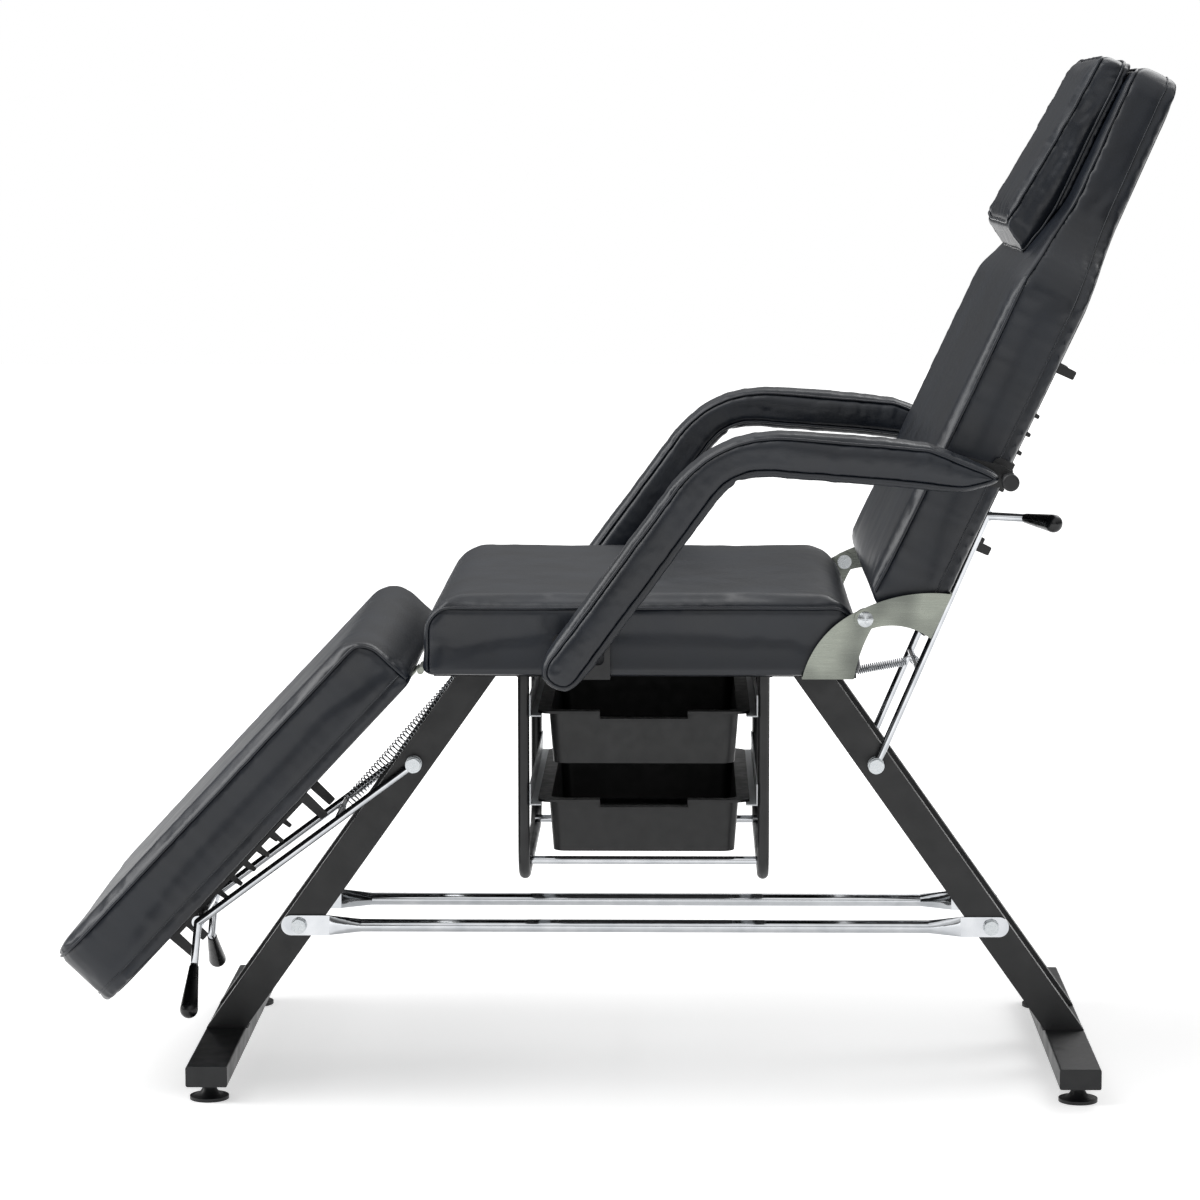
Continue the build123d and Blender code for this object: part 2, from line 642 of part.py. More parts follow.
def upper_plate():
    """The back's hinge plate: a crescent from the pivot up to a flange behind the back."""
    rear = PLATE_SHEET
    high = spot(BACK, UPPER_PLATE_TOP + UPPER_PLATE_LOW, rear)
    low = spot(BACK, UPPER_PLATE_LOW, rear)
    eye_top = (PIVOT_X - EYE_R * sin(radians(45)), PIVOT_Z + EYE_R * cos(radians(45)))
    eye_left = (PIVOT_X - EYE_R * cos(radians(35)), PIVOT_Z - EYE_R * sin(radians(35)))
    eye_low = (PIVOT_X + EYE_R * sin(radians(30)), PIVOT_Z - EYE_R * cos(radians(30)))
    top_mid = ((eye_top[0] + high[0]) / 2, (eye_top[1] + high[1]) / 2 + UPPER_PLATE_BOW)
    low_mid = ((eye_low[0] + low[0]) / 2, (eye_low[1] + low[1]) / 2 + UPPER_PLATE_BOW)
    sheet = make_face(
        Line(low, high)
        + ThreePointArc(high, top_mid, eye_top)
        + ThreePointArc(eye_top, eye_left, eye_low)
        + ThreePointArc(eye_low, low_mid, low)
    )
    plate = slab(WORLD, sheet, -UPPER_PLATE_Y - PLATE_SHEET, -UPPER_PLATE_Y)
    flange = outline([(UPPER_PLATE_LOW, 0), (UPPER_PLATE_LOW + UPPER_PLATE_TOP, 0),
                      (UPPER_PLATE_LOW + UPPER_PLATE_TOP, rear), (UPPER_PLATE_LOW, rear)])
    plate += slab(BACK, flange, -UPPER_PLATE_Y, -UPPER_PLATE_Y + FLANGE)
    return plate - along_y(PIVOT_X, PIVOT_Z, RIVET_R + RUN_FIT, -UPPER_PLATE_Y - PLATE_SHEET - OVERRUN,
                           -UPPER_PLATE_Y + OVERRUN)


def pivot_rivet():
    """A shouldered rivet with a domed, cross-cut head."""
    seat = -UPPER_PLATE_Y - PLATE_SHEET - RUN_FIT
    shank = along_y(PIVOT_X, PIVOT_Z, RIVET_R, seat, -LOWER_PLATE_Y)
    ball_r = (RIVET_HEAD_R ** 2 + RIVET_DOME ** 2) / (2 * RIVET_DOME)
    ball = Pos(PIVOT_X, seat + ball_r - RIVET_DOME, PIVOT_Z) * Sphere(ball_r)
    head = ball & along_y(PIVOT_X, PIVOT_Z, RIVET_HEAD_R + OVERRUN, seat - RIVET_DOME - OVERRUN, seat)
    for turn in (0, 90):
        cut = Pos(PIVOT_X, seat - RIVET_DOME, PIVOT_Z) * Rot(0, turn, 0) * Box(
            CROSS_LENGTH, RIVET_DOME, CROSS_CUT)
        head -= cut
    backing = along_y(PIVOT_X, PIVOT_Z, RIVET_HEAD_R, -LOWER_PLATE_Y, -LOWER_PLATE_Y + PLATE_SHEET)
    return shank + head + backing


add_pair("seat_hinge_plate", lower_plate())
add_pair("back_hinge_plate", upper_plate())
add_pair("back_pivot_rivet", pivot_rivet())


# Back
def back_front_outline(inset):
    """The back seen from its front: straight below, an S to the neck, then a slow taper."""
    wide, neck, crown = HALF - inset, NECK_HALF - inset, CROWN_HALF - inset
    head = BACK_LENGTH - inset
    mid_along, mid_half = (SHOULDER_START + SHOULDER_END) / 2, (wide + neck) / 2
    bend = (wide - neck) / 4
    quarter = (SHOULDER_END - SHOULDER_START) / 4
    edge = [(inset, wide), (SHOULDER_START, wide)]
    right = (
        Line((inset, 0), edge[0]) + Line(edge[0], edge[1])
        + ThreePointArc(edge[1], (SHOULDER_START + quarter, wide - bend * 0.8), (mid_along, mid_half))
        + ThreePointArc((mid_along, mid_half), (SHOULDER_END - quarter, neck + bend * 0.8), (SHOULDER_END, neck))
    )
    slope = (neck - crown) / (head - SHOULDER_END)
    corner_along = head - CROWN_CORNER
    corner_half = neck - slope * (corner_along - SHOULDER_END)
    right += Line((SHOULDER_END, neck), (corner_along, corner_half))
    right += ThreePointArc(
        (corner_along, corner_half),
        (corner_along + CROWN_CORNER * sin(radians(45)), corner_half - CROWN_CORNER * (1 - cos(radians(45)))),
        (head, corner_half - CROWN_CORNER))
    right += Line((head, corner_half - CROWN_CORNER), (head, 0))
    right += Line((head, 0), (inset, 0))
    half_face = make_face(right)
    return half_face + mirror(half_face, about=Plane.XZ)


def back_plan(inset, out_low, out_high):
    """The front outline, made solid between two places along the back's outward direction."""
    frame = Plane(origin=(BACK_FOOT_X, 0, BACK_FOOT_Z), x_dir=(BACK_ALONG[0], 0, BACK_ALONG[1]),
                  z_dir=(BACK_OUT[0], 0, BACK_OUT[1]))
    return extrude(frame.offset(out_low) * back_front_outline(inset), amount=out_high - out_low)


def back_board():
    return back_plan(BACK_BOARD_FOOT, -BOARD_THICK, 0)


def back_side_outline(grow):
    """The back seen from its side, thick below and thinner at the head."""
    deep, thin = BACK_THICK + BACK_CROWN + grow, HEAD_THICK + grow
    return outline([(0, 0), (BACK_LENGTH, 0), (BACK_LENGTH, -thin), (SHOULDER_END, -thin),
                    (SHOULDER_START, -deep), (BACK_HEM, -deep)],
                   {1: TOE_ROUND, 2: BACK_TOP_ROUND, 3: SHOULDER_ROUND, 4: SHOULDER_ROUND, 5: BACK_TOE_ROUND})


def back_cushion():
    """Thick below and thinner at the head, crowned across, its sides drawn in."""
    deep = BACK_THICK + BACK_CROWN
    body = slab(BACK, back_side_outline(0), -HALF, HALF) & back_plan(0, -deep, 0)
    cross_frame = Plane(origin=(BACK_FOOT_X, 0, BACK_FOOT_Z), x_dir=(0, 1, 0),
                        z_dir=(BACK_ALONG[0], 0, BACK_ALONG[1]))
    down = 1 if cross_frame.y_dir.X < 0 else -1
    cross = cheek_profile(HALF, 0, BACK_THICK, BACK_CROWN, down)
    body &= extrude(cross_frame * cross, amount=BACK_LENGTH)
    return body - back_board()


parts["back_board"] = back_board()
parts["back_cushion"] = back_cushion()


# Leg rest
def leg_rest_plan(inset, out_low, out_high):
    """The leg rest's plan, square at the knee and rounded at the toe."""
    frame = Plane(origin=(KNEE_X, 0, KNEE_Z), x_dir=(LEG_ALONG[0], 0, LEG_ALONG[1]),
                  z_dir=(LEG_OUT[0], 0, LEG_OUT[1]))
    half = HALF - inset
    plan = outline([(inset, -half), (LEG_REST_LENGTH - inset, -half), (LEG_REST_LENGTH - inset, half),
                    (inset, half)], {1: TOE_PLAN_ROUND, 2: TOE_PLAN_ROUND})
    return extrude(frame.offset(out_low) * plan, amount=out_high - out_low)


def leg_rest_board():
    return leg_rest_plan(BOARD_INSET, 0, BOARD_THICK)


def leg_rest_cushion():
    """Rolled over at the knee, square at the toe, crowned across."""
    knee, toe = LEG_REST_KNEE_THICK + LEG_REST_CROWN, LEG_REST_TOE_THICK + LEG_REST_CROWN
    side = outline([(0, 0), (LEG_REST_LENGTH, 0), (LEG_REST_LENGTH, toe), (0, knee)],
                   {2: TOE_ROUND, 3: KNEE_ROUND})
    body = slab(LEG_REST, side, -HALF, HALF) & leg_rest_plan(0, 0, toe)
    cross_frame = Plane(origin=(KNEE_X, 0, KNEE_Z), x_dir=(0, 1, 0), z_dir=(LEG_ALONG[0], 0, LEG_ALONG[1]))
    up = 1 if cross_frame.y_dir.Z > 0 else -1
    cross = cheek_profile(HALF, 0, LEG_REST_TOE_THICK, LEG_REST_CROWN, up)
    body &= extrude(cross_frame * cross, amount=LEG_REST_LENGTH)
    return body - leg_rest_board()


def hinge_barrel(low_y, high_y):
    return along_y(HINGE_X, HINGE_Z, KNUCKLE_R, low_y, high_y)


def leg_hinge_seat_half():
    """The fixed halves of the two butt hinges: a leaf, two knuckles and the pin."""
    third = KNUCKLE_LENGTH / 6
    low, high = -HINGE_Y - KNUCKLE_LENGTH / 2, -HINGE_Y + KNUCKLE_LENGTH / 2
    leaf = block(HINGE_X, HINGE_X + LEAF_LENGTH, low, high, SEAT_BASE_Z - LEAF_THICK, SEAT_BASE_Z)
    web = block(HINGE_X, HINGE_X + KNUCKLE_R, low, high, HINGE_Z, SEAT_BASE_Z)
    leaf += web
    leaf -= block(HINGE_X - KNUCKLE_R - OVERRUN, HINGE_X + KNUCKLE_R + OVERRUN, -HINGE_Y - third - SEAT_GAP,
                  -HINGE_Y + third + SEAT_GAP, HINGE_Z - KNUCKLE_R, SEAT_BASE_Z + OVERRUN)
    half = leaf + hinge_barrel(low, -HINGE_Y - third - SEAT_GAP) + hinge_barrel(-HINGE_Y + third + SEAT_GAP, high)
    half += along_y(HINGE_X, HINGE_Z, KNUCKLE_PIN_R, low, high)
    return half + far(half)


def leg_hinge_rest_half():
    """The moving halves: a leaf under the leg rest's board and one knuckle."""
    third = KNUCKLE_LENGTH / 6
    strip = outline([(0, -LEAF_THICK), (LEAF_LENGTH, -LEAF_THICK), (LEAF_LENGTH, 0), (0, 0)])
    leaf = slab(LEG_REST, strip, -HINGE_Y - KNUCKLE_LENGTH / 2, -HINGE_Y + KNUCKLE_LENGTH / 2)
    keep = KNUCKLE_R + OVERRUN
    for low_y, high_y in ((-HINGE_Y - KNUCKLE_LENGTH / 2 - OVERRUN, -HINGE_Y - third),
                          (-HINGE_Y + third, -HINGE_Y + KNUCKLE_LENGTH / 2 + OVERRUN)):
        leaf -= along_y(HINGE_X, HINGE_Z, keep, low_y, high_y)
    barrel = hinge_barrel(-HINGE_Y - third, -HINGE_Y + third)
    half = (leaf + barrel) - along_y(HINGE_X, HINGE_Z, KNUCKLE_PIN_R + RUN_FIT, -HINGE_Y - KNUCKLE_LENGTH,
                                     -HINGE_Y + KNUCKLE_LENGTH)
    return half + far(half)


parts["leg_rest_board"] = leg_rest_board()
parts["leg_rest_cushion"] = leg_rest_cushion()
parts["leg_hinge_seat_half"] = leg_hinge_seat_half()
parts["leg_hinge_rest_half"] = leg_hinge_rest_half()


# Racks
def rack_tooth(middle, tip, lean):
    return [(middle - TOOTH_FOOT / 2, 0), (middle - TOOTH_TIP / 2 + lean, tip),
            (middle + TOOTH_TIP / 2 + lean, tip), (middle + TOOTH_FOOT / 2, 0)]


def rack(frame, start, toward, out_sign, lean):
    """A toothed plate with a flange: the strut's rod drops into one of its notches.

    Places along it are counted from its rest end. The tooth next to the rest notch is low, so
    that the rod can climb out past it.
    """
    root = ROD_OUT - STRUT_R - SEAT_GAP
    finger = [(-RACK_FINGER_OUT, 0), (RACK_FINGER_WIDTH, 0),
              (RACK_FINGER_WIDTH - RACK_FINGER_TAPER / 2, RACK_FINGER),
              (-RACK_FINGER_OUT + RACK_FINGER_TAPER, RACK_FINGER)]
    strips = [outline([(0, 0), (RACK_LENGTH, 0), (RACK_LENGTH, root), (0, root)]),
              outline(finger, {2: RACK_FINGER_TAPER, 3: RACK_FINGER_TAPER}),
              outline([(RACK_LENGTH - x, out) for x, out in finger],
                      {2: RACK_FINGER_TAPER, 3: RACK_FINGER_TAPER})]
    for count in range(RACK_TEETH + 1):
        middle = RACK_REST + (count - 1 / 2) * RACK_PITCH
        tip = RACK_LOW_TIP if count == 1 else RACK_TIP
        strips.append(outline(rack_tooth(middle, tip, 0 if count == 1 else lean),
                              {1: TOOTH_TIP / 3, 2: TOOTH_TIP / 3}))
    plate = Sketch()
    for strip in strips:
        plate += strip
    flange = outline([(0, 0), (RACK_LENGTH, 0), (RACK_LENGTH, RACK_SHEET), (0, RACK_SHEET)])

    def placed(sketch):
        """Turn the outline so that it runs from the start and stands out from the board."""
        if out_sign < 0:
            sketch = mirror(sketch, about=Plane.XZ)
        if toward < 0:
            sketch = mirror(sketch, about=Plane.YZ)
        return Pos(start, 0) * sketch

    near = slab(frame, placed(plate), -RACK_Y - RACK_SHEET / 2, -RACK_Y + RACK_SHEET / 2)
    near += slab(frame, placed(flange), -RACK_Y + RACK_SHEET / 2, -RACK_Y + RACK_SHEET / 2 + RACK_FLANGE)
    return near


add_pair("leg_rest_rack", rack(LEG_REST, LEG_RACK_START, -1, -1, TOOTH_LEAN))
add_pair("back_rack", rack(BACK, BACK_RACK_START, 1, 1, -TOOTH_LEAN))


# Struts
def grip(start, direction):
    """A tapered grip with a domed end, blind-bored for the rod."""
    body = make_face(
        Polyline((0, 0), (GRIP_SMALL_R, 0), (GRIP_BIG_R, GRIP_LENGTH - GRIP_BIG_R))
        + ThreePointArc((GRIP_BIG_R, GRIP_LENGTH - GRIP_BIG_R),
                        (GRIP_BIG_R * sin(radians(45)), GRIP_LENGTH - GRIP_BIG_R * (1 - cos(radians(45)))),
                        (0, GRIP_LENGTH))
        + Line((0, GRIP_LENGTH), (0, 0))
    )
    solid = revolve(Plane.XZ * body, Axis.Z)
    return Plane(origin=start, z_dir=direction) * (solid - Pos(0, 0, -OVERRUN) * Cylinder(
        STRUT_R, GRIP_BORE + OVERRUN, align=(Align.CENTER, Align.CENTER, Align.MIN)))


def strut(pivot, rod_spot, hook_share, handle_end, grip_direction, both_sides):
    """A welded frame: two rods with eyes, the rod in the racks, the spring's rod, one or two handles."""
    y = -STRUT_Y
    start = (pivot[0], y, pivot[1])
    bend = (rod_spot[0], y, rod_spot[1])
    knob = (handle_end[0], y, handle_end[1])
    direction = Vector(*grip_direction)
    tail = Vector(*knob) + direction * GRIP_BORE
    near = along_y(pivot[0], pivot[1], STRUT_EYE_R, y - STRUT_EYE_THICK / 2, y + STRUT_EYE_THICK / 2)
    near += rod(start, bend, STRUT_R) + Pos(*bend) * Sphere(STRUT_R)
    lever = rod(bend, knob, STRUT_R) + Pos(*knob) * Sphere(STRUT_R) + rod(knob, tuple(tail), STRUT_R)
    near += along_y(bend[0], bend[2], STRUT_COLLAR_R, y + STRUT_R / 2, y + STRUT_R / 2 + STRUT_COLLAR)
    near -= along_y(pivot[0], pivot[1], BOLT_R + RUN_FIT, y - STRUT_EYE_THICK, y + STRUT_EYE_THICK)
    frame = near + far(near) + lever
    frame += along_y(bend[0], bend[2], STRUT_R, y, -y)
    hook_x = pivot[0] + (rod_spot[0] - pivot[0]) * hook_share
    hook_z = pivot[1] + (rod_spot[1] - pivot[1]) * hook_share
    frame += along_y(hook_x, hook_z, HOOK_ROD_R, y, -y)
    handle = grip(Vector(*knob) + direction * (STRUT_R + SEAT_GAP), direction)
    if both_sides:
        frame += far(lever)
        handle += far(handle)
    return frame, handle, (hook_x, hook_z)


def pivot_bolts(side):
    """The bolt on each leg that a strut turns on, with a washer against the leg."""
    x = side * STRUT_PIVOT_X
    eye_outer = -STRUT_Y - STRUT_EYE_THICK / 2
    eye_inner = -STRUT_Y + STRUT_EYE_THICK / 2
    bolt = hex_bolt(x, STRUT_PIVOT_Z, eye_outer - SEAT_GAP, -LEG_OUTER_Y + LEG_TUBE_Y + BOLT_HEAD + 2 * SEAT_GAP)
    bolt += along_y(x, STRUT_PIVOT_Z, WASHER_R, -LEG_OUTER_Y - WASHER_THICK + SEAT_GAP,
                    -LEG_OUTER_Y - SEAT_GAP / 3)
    return bolt + far(bolt)


FRONT_PIVOT = (-STRUT_PIVOT_X, STRUT_PIVOT_Z)
REAR_PIVOT = (STRUT_PIVOT_X, STRUT_PIVOT_Z)
FRONT_ROD = spot(LEG_REST, LEG_RACK_START - RACK_REST, -ROD_OUT)
REAR_ROD = spot(BACK, BACK_RACK_START + RACK_REST, ROD_OUT)
FRONT_KNOB = (FRONT_ROD[0] - BAR_R, FRONT_ROD[1] - HANDLE_DROP)
REAR_KNOB = (REAR_ROD[0] + HANDLE_OUT, REAR_ROD[1] - STRUT_R / 2)
FRONT_GRIP_WAY = (0, -sin(radians(GRIP_TILT)), -cos(radians(GRIP_TILT)))
REAR_GRIP_WAY = (cos(radians(REAR_GRIP_TILT)), -sin(radians(REAR_GRIP_TILT)), 0)

front_strut, front_grips, FRONT_HOOK = strut(FRONT_PIVOT, FRONT_ROD, FRONT_HOOK_SHARE, FRONT_KNOB, FRONT_GRIP_WAY,
                                              both_sides=True)
rear_strut, rear_grips, REAR_HOOK = strut(REAR_PIVOT, REAR_ROD, REAR_HOOK_SHARE, REAR_KNOB, REAR_GRIP_WAY,
                                           both_sides=False)
parts["front_strut"] = front_strut
parts["front_strut_grips"] = front_grips
parts["rear_strut"] = rear_strut
parts["rear_strut_grips"] = rear_grips
parts["front_strut_bolts"] = pivot_bolts(-1)
parts["rear_strut_bolts"] = pivot_bolts(1)


# Springs
def biarc(start, start_way, end, end_way):
    """Two arcs that join two points with the given directions."""
    gap = end - start
    both = start_way + end_way
    turn = 2 * (1 - start_way.dot(end_way))
    reach = (-gap.dot(both) + sqrt(gap.dot(both) ** 2 + turn * gap.dot(gap))) / turn
    first, second = start + start_way * reach, end - end_way * reach
    middle = (first + second) * 0.5
    way = (second - first).normalized()
    return [Edge.make_tangent_arc(start, start_way, middle), Edge.make_tangent_arc(middle, way, end)]


def spring(start, end, coil_r, wire_r, turns):
    """A coil with a hook at each end, round two rods that lie along Y."""
    start, end = Vector(start[0], 0, start[1]), Vector(end[0], 0, end[1])
    axis = (end - start).normalized()
    side = Vector(0, 1, 0)
    up = axis.cross(side)
    hook_r = HOOK_ROD_R + wire_r + SEAT_GAP
    tail = hook_r + coil_r
    low = start + axis * tail
    length = (end - start).length - 2 * tail
    rise = length / turns

    def place(quarter):
        angle = quarter * pi / 2
        around = side * sin(angle) + up * cos(angle)
        way = side * cos(angle) - up * sin(angle)
        at = low + axis * (rise * quarter / 4) + around * coil_r
        return at, (way * (2 * pi * coil_r) + axis * rise).normalized()

    def hook(centre, turn):
        """The arcs round a rod, from its far side to the coil's line or back."""
        def ring(angle):
            return centre + up * (hook_r * cos(angle)) + axis * (hook_r * sin(angle))
        sweep_to = radians(SPRING_HOOK_TURN) * turn
        ends = sorted([0, sweep_to])
        middle = sum(ends) / 2
        steps = [ends[0], (ends[0] + middle) / 2, middle, (middle + ends[1]) / 2, ends[1]]
        points = [ring(angle) for angle in steps]
        return [Edge.make_three_point_arc(*points[0:3]), Edge.make_three_point_arc(*points[2:5])]

    low_top, high_top = start + up * hook_r, end + up * hook_r
    edges = hook(start, -1) + biarc(low_top, axis, *place(0))
    for quarter in range(4 * turns):
        edges += biarc(*place(quarter), *place(quarter + 1))
    edges += biarc(*place(4 * turns), high_top, axis) + hook(end, 1)
    path = Wire(edges)
    wire = sweep(Plane(path @ 0, z_dir=path % 0) * Circle(wire_r), path=path)
    print("spring pitch", round(rise, 2), "gap", round(rise - 2 * wire_r, 2))
    return wire


parts["front_spring"] = spring(FRONT_TAB, FRONT_HOOK, FRONT_COIL_R, FRONT_WIRE_R, FRONT_TURNS)
parts["rear_spring"] = spring(REAR_TAB, REAR_HOOK, REAR_COIL_R, REAR_WIRE_R, REAR_TURNS)


# Armrests
ARM_ROUTE = [(ARM_FOOT_X, ARM_FOOT_Z), (ARM_BEND_X, ARM_BEND_Z), (ARM_REST_X, ARM_REST_Z),
             (ARM_TIP_X, ARM_TIP_Z)]


def arm_pad():
    """The upholstered arm, tapered at its rear, with a channel for its steel bar."""
    low_y, high_y = -ARM_Y - ARM_WIDTH / 2, -ARM_Y + ARM_WIDTH / 2
    pad = slab(WORLD, arm_outline(ARM_THICK, ARM_THICK / 2), low_y, high_y)
    ends = pad.edges().filter_by(Plane.XZ)
    pad = fillet(ends, ARM_ROUND)
    low, high, left = ARM_FOOT_Z - ARM_WIDTH, ARM_BEND_Z + ARM_WIDTH, ARM_FOOT_X - ARM_WIDTH
    pad &= slab(WORLD, outline([(left, low), (left, high), (ARM_TAIL_TOP[0][0], high)] + ARM_TAIL_TOP
                               + ARM_TAIL_LOW + [(ARM_TAIL_LOW[-1][0], low)]), low_y, high_y)
    pad -= slab(WORLD, arm_outline(ARM_BAR_WIDTH + 2 * SEAT_GAP, ARM_BAR_WIDTH / 2 + SEAT_GAP),
                high_y - ARM_BAR_DEEP - ARM_BAR_THICK - SEAT_GAP, high_y + OVERRUN)
    return pad - along_y(ARM_PIVOT_X, ARM_PIVOT_Z, ARM_STUD_CAP_R + 2 * SEAT_GAP, low_y - OVERRUN, high_y + OVERRUN)


def arm_outline(width, end_round):
    """The armrest's side view: a bent band with rounded ends and bends."""
    half = width / 2
    left, right = [], []
    for index, (x, z) in enumerate(ARM_ROUTE):
        ways = []
        if index > 0:
            ways.append(unit(ARM_ROUTE[index - 1], ARM_ROUTE[index]))
        if index < len(ARM_ROUTE) - 1:
            ways.append(unit(ARM_ROUTE[index], ARM_ROUTE[index + 1]))
        way_x = sum(way[0] for way in ways) / len(ways)
        way_z = sum(way[1] for way in ways) / len(ways)
        scale = half / (way_x ** 2 + way_z ** 2)
        left.append((x - way_z * scale, z + way_x * scale))
        right.append((x + way_z * scale, z - way_x * scale))
    start_way, end_way = unit(ARM_ROUTE[0], ARM_ROUTE[1]), unit(ARM_ROUTE[-2], ARM_ROUTE[-1])
    points = ([shifted(left[0], start_way, -half)] + left[1:-1] + [shifted(left[-1], end_way, half)]
              + [shifted(right[-1], end_way, half)] + right[-2:0:-1] + [shifted(right[0], start_way, -half)])
    last = len(points) - 1
    tight = end_round * 0.98
    rounds = {0: tight, 3: tight, 4: tight, last: tight,
              1: ARM_BEND_R + half, last - 1: ARM_BEND_R - half, 2: ARM_TAIL_R, 5: ARM_TAIL_R}
    return outline(points, rounds)


def unit(start, end):
    length = dist(start, end)
    return (end[0] - start[0]) / length, (end[1] - start[1]) / length


def shifted(point, way, amount):
    return point[0] + way[0] * amount, point[1] + way[1] * amount


def arm_bar():
    """The steel bar in the pad, with the stud's bore at its tip and the sliding pin at its foot."""
    inner = -ARM_Y + ARM_WIDTH / 2
    high_y = inner - ARM_BAR_DEEP
    low_y = high_y - ARM_BAR_THICK
    bar = slab(WORLD, arm_outline(ARM_BAR_WIDTH, ARM_BAR_WIDTH / 2), low_y, high_y)
    bar += along_y(ARM_PIVOT_X, ARM_PIVOT_Z, ARM_STUD_CAP_R, low_y, high_y)
    bar -= along_y(ARM_PIVOT_X, ARM_PIVOT_Z, ARM_STUD_R + RUN_FIT, low_y - OVERRUN, high_y + OVERRUN)
    pin_tip = -SLOT_PLATE_Y + OVERRUN
    return bar + along_y(ARM_PIN_X, ARM_PIN_Z, ARM_PIN_R, high_y - OVERRUN, pin_tip)


def arm_bracket():
    """The strap behind the back's board, folded along its side, with the stud the arm turns on."""
    hub = BACK.to_local_coords(Vector(ARM_PIVOT_X, 0, ARM_PIVOT_Z))
    along, out = hub.X, hub.Y
    side_y = -HALF - SEAT_GAP
    strap = outline([(along - BRACKET_HALF, 0), (along + BRACKET_HALF, 0),
                     (along + BRACKET_HALF, BRACKET_SHEET), (along - BRACKET_HALF, BRACKET_SHEET)])
    ear = outline([(along - BRACKET_HALF, out - BRACKET_HALF), (along + BRACKET_HALF, out - BRACKET_HALF),
                   (along + BRACKET_HALF, BRACKET_SHEET), (along - BRACKET_HALF, BRACKET_SHEET)],
                  {0: BRACKET_HALF / 2, 1: BRACKET_HALF / 2})
    bracket = slab(BACK, strap, side_y - BRACKET_SHEET, side_y + BRACKET_WRAP)
    bracket += slab(BACK, ear, side_y - BRACKET_SHEET, side_y)
    stud_end = -ARM_Y - ARM_WIDTH / 2 + ARM_STUD_CAP
    return bracket + along_y(ARM_PIVOT_X, ARM_PIVOT_Z, ARM_STUD_R, stud_end, side_y)


def arm_caps():
    """The black caps on the outer ends of the two studs."""
    outer = -ARM_Y - ARM_WIDTH / 2
    cap = along_y(ARM_PIVOT_X, ARM_PIVOT_Z, ARM_STUD_CAP_R, outer, outer + ARM_STUD_CAP)
    cap = fillet(cap.edges().sort_by(Axis.Y)[0], ARM_STUD_DOME)
    return cap + far(cap)


def pin_place(recline):
    """Where the armrest's pin is at one angle of the back."""
    pivot, hub = (PIVOT_X, PIVOT_Z), (ARM_PIVOT_X, ARM_PIVOT_Z)
    pin = turned((ARM_PIN_X, ARM_PIN_Z), hub, recline * RECLINE_ARM_RATIO)
    return turned(pin, pivot, recline)


def slot_plate():
    """A plate beside the seat, with the slot in which the armrest's pin slides."""
    outer = -SLOT_PLATE_Y - SLOT_PLATE_THICK
    places = [pin_place(RECLINE_DEG * step / ARM_STEPS) for step in range(ARM_STEPS + 1)]
    low_x, high_x = min(p[0] for p in places), max(p[0] for p in places)
    low_z, high_z = min(p[1] for p in places), max(p[1] for p in places)
    play = ARM_PIN_R + SLOT_PLAY
    rim = play + SLOT_RIM
    ear = outline([(low_x - rim, SEAT_BASE_Z - TAB_THICK), (high_x + rim, SEAT_BASE_Z - TAB_THICK),
                   (high_x + rim, high_z + rim), (low_x - rim, high_z + rim)], {2: SLOT_RIM, 3: SLOT_RIM})
    hole = outline([(low_x - play, low_z - play), (high_x + play, low_z - play),
                    (high_x + play, high_z + play), (low_x - play, high_z + play)],
                   {0: SLOT_RIM, 1: SLOT_RIM, 2: SLOT_RIM, 3: SLOT_RIM})
    plate = slab(WORLD, ear, outer, -SLOT_PLATE_Y) - slab(WORLD, hole, outer - OVERRUN, -SLOT_PLATE_Y + OVERRUN)
    plate += block(low_x - rim, high_x + rim, -SLOT_PLATE_Y, -SLOT_PLATE_Y + SLOT_FOOT,
                   SEAT_BASE_Z - TAB_THICK, SEAT_BASE_Z)
    return plate


add_pair("armrest_pad", arm_pad())
add_pair("armrest_bar", arm_bar())
add_pair("armrest_bracket", arm_bracket())
parts["armrest_caps"] = arm_caps()
add_pair("armrest_slot_plate", slot_plate())


# Pillow
def pillow():
    """A wedge-shaped pillow, thick at its lower edge, its rear shaped to the back's front."""
    rear = HEAD_THICK - PILLOW_LAP
    side = outline([(PILLOW_FOOT, -rear), (PILLOW_HEAD, -rear), (PILLOW_HEAD, -HEAD_THICK - PILLOW_HEAD_THICK),
                    (PILLOW_FOOT + PILLOW_CHIN, -PILLOW_FRONT_OUT)],
                   {2: PILLOW_CORNER, 3: PILLOW_CORNER})
    body = slab(BACK, side, -PILLOW_HALF, PILLOW_HALF)
    frame = Plane(origin=(BACK_FOOT_X, 0, BACK_FOOT_Z), x_dir=(BACK_ALONG[0], 0, BACK_ALONG[1]),
                  z_dir=(BACK_OUT[0], 0, BACK_OUT[1]))
    plan = outline([(PILLOW_FOOT, -PILLOW_HALF), (PILLOW_HEAD, -PILLOW_HALF), (PILLOW_HEAD, PILLOW_HALF),
                    (PILLOW_FOOT, PILLOW_HALF)], {0: PILLOW_PLAN_ROUND, 1: PILLOW_PLAN_ROUND,
                                                  2: PILLOW_PLAN_ROUND, 3: PILLOW_PLAN_ROUND})
    body &= extrude(frame.offset(-PILLOW_FRONT_OUT - OVERRUN) * plan, amount=PILLOW_FRONT_OUT)
    return body - slab(BACK, back_side_outline(SEAT_GAP), -HALF, HALF)


parts["pillow"] = pillow()


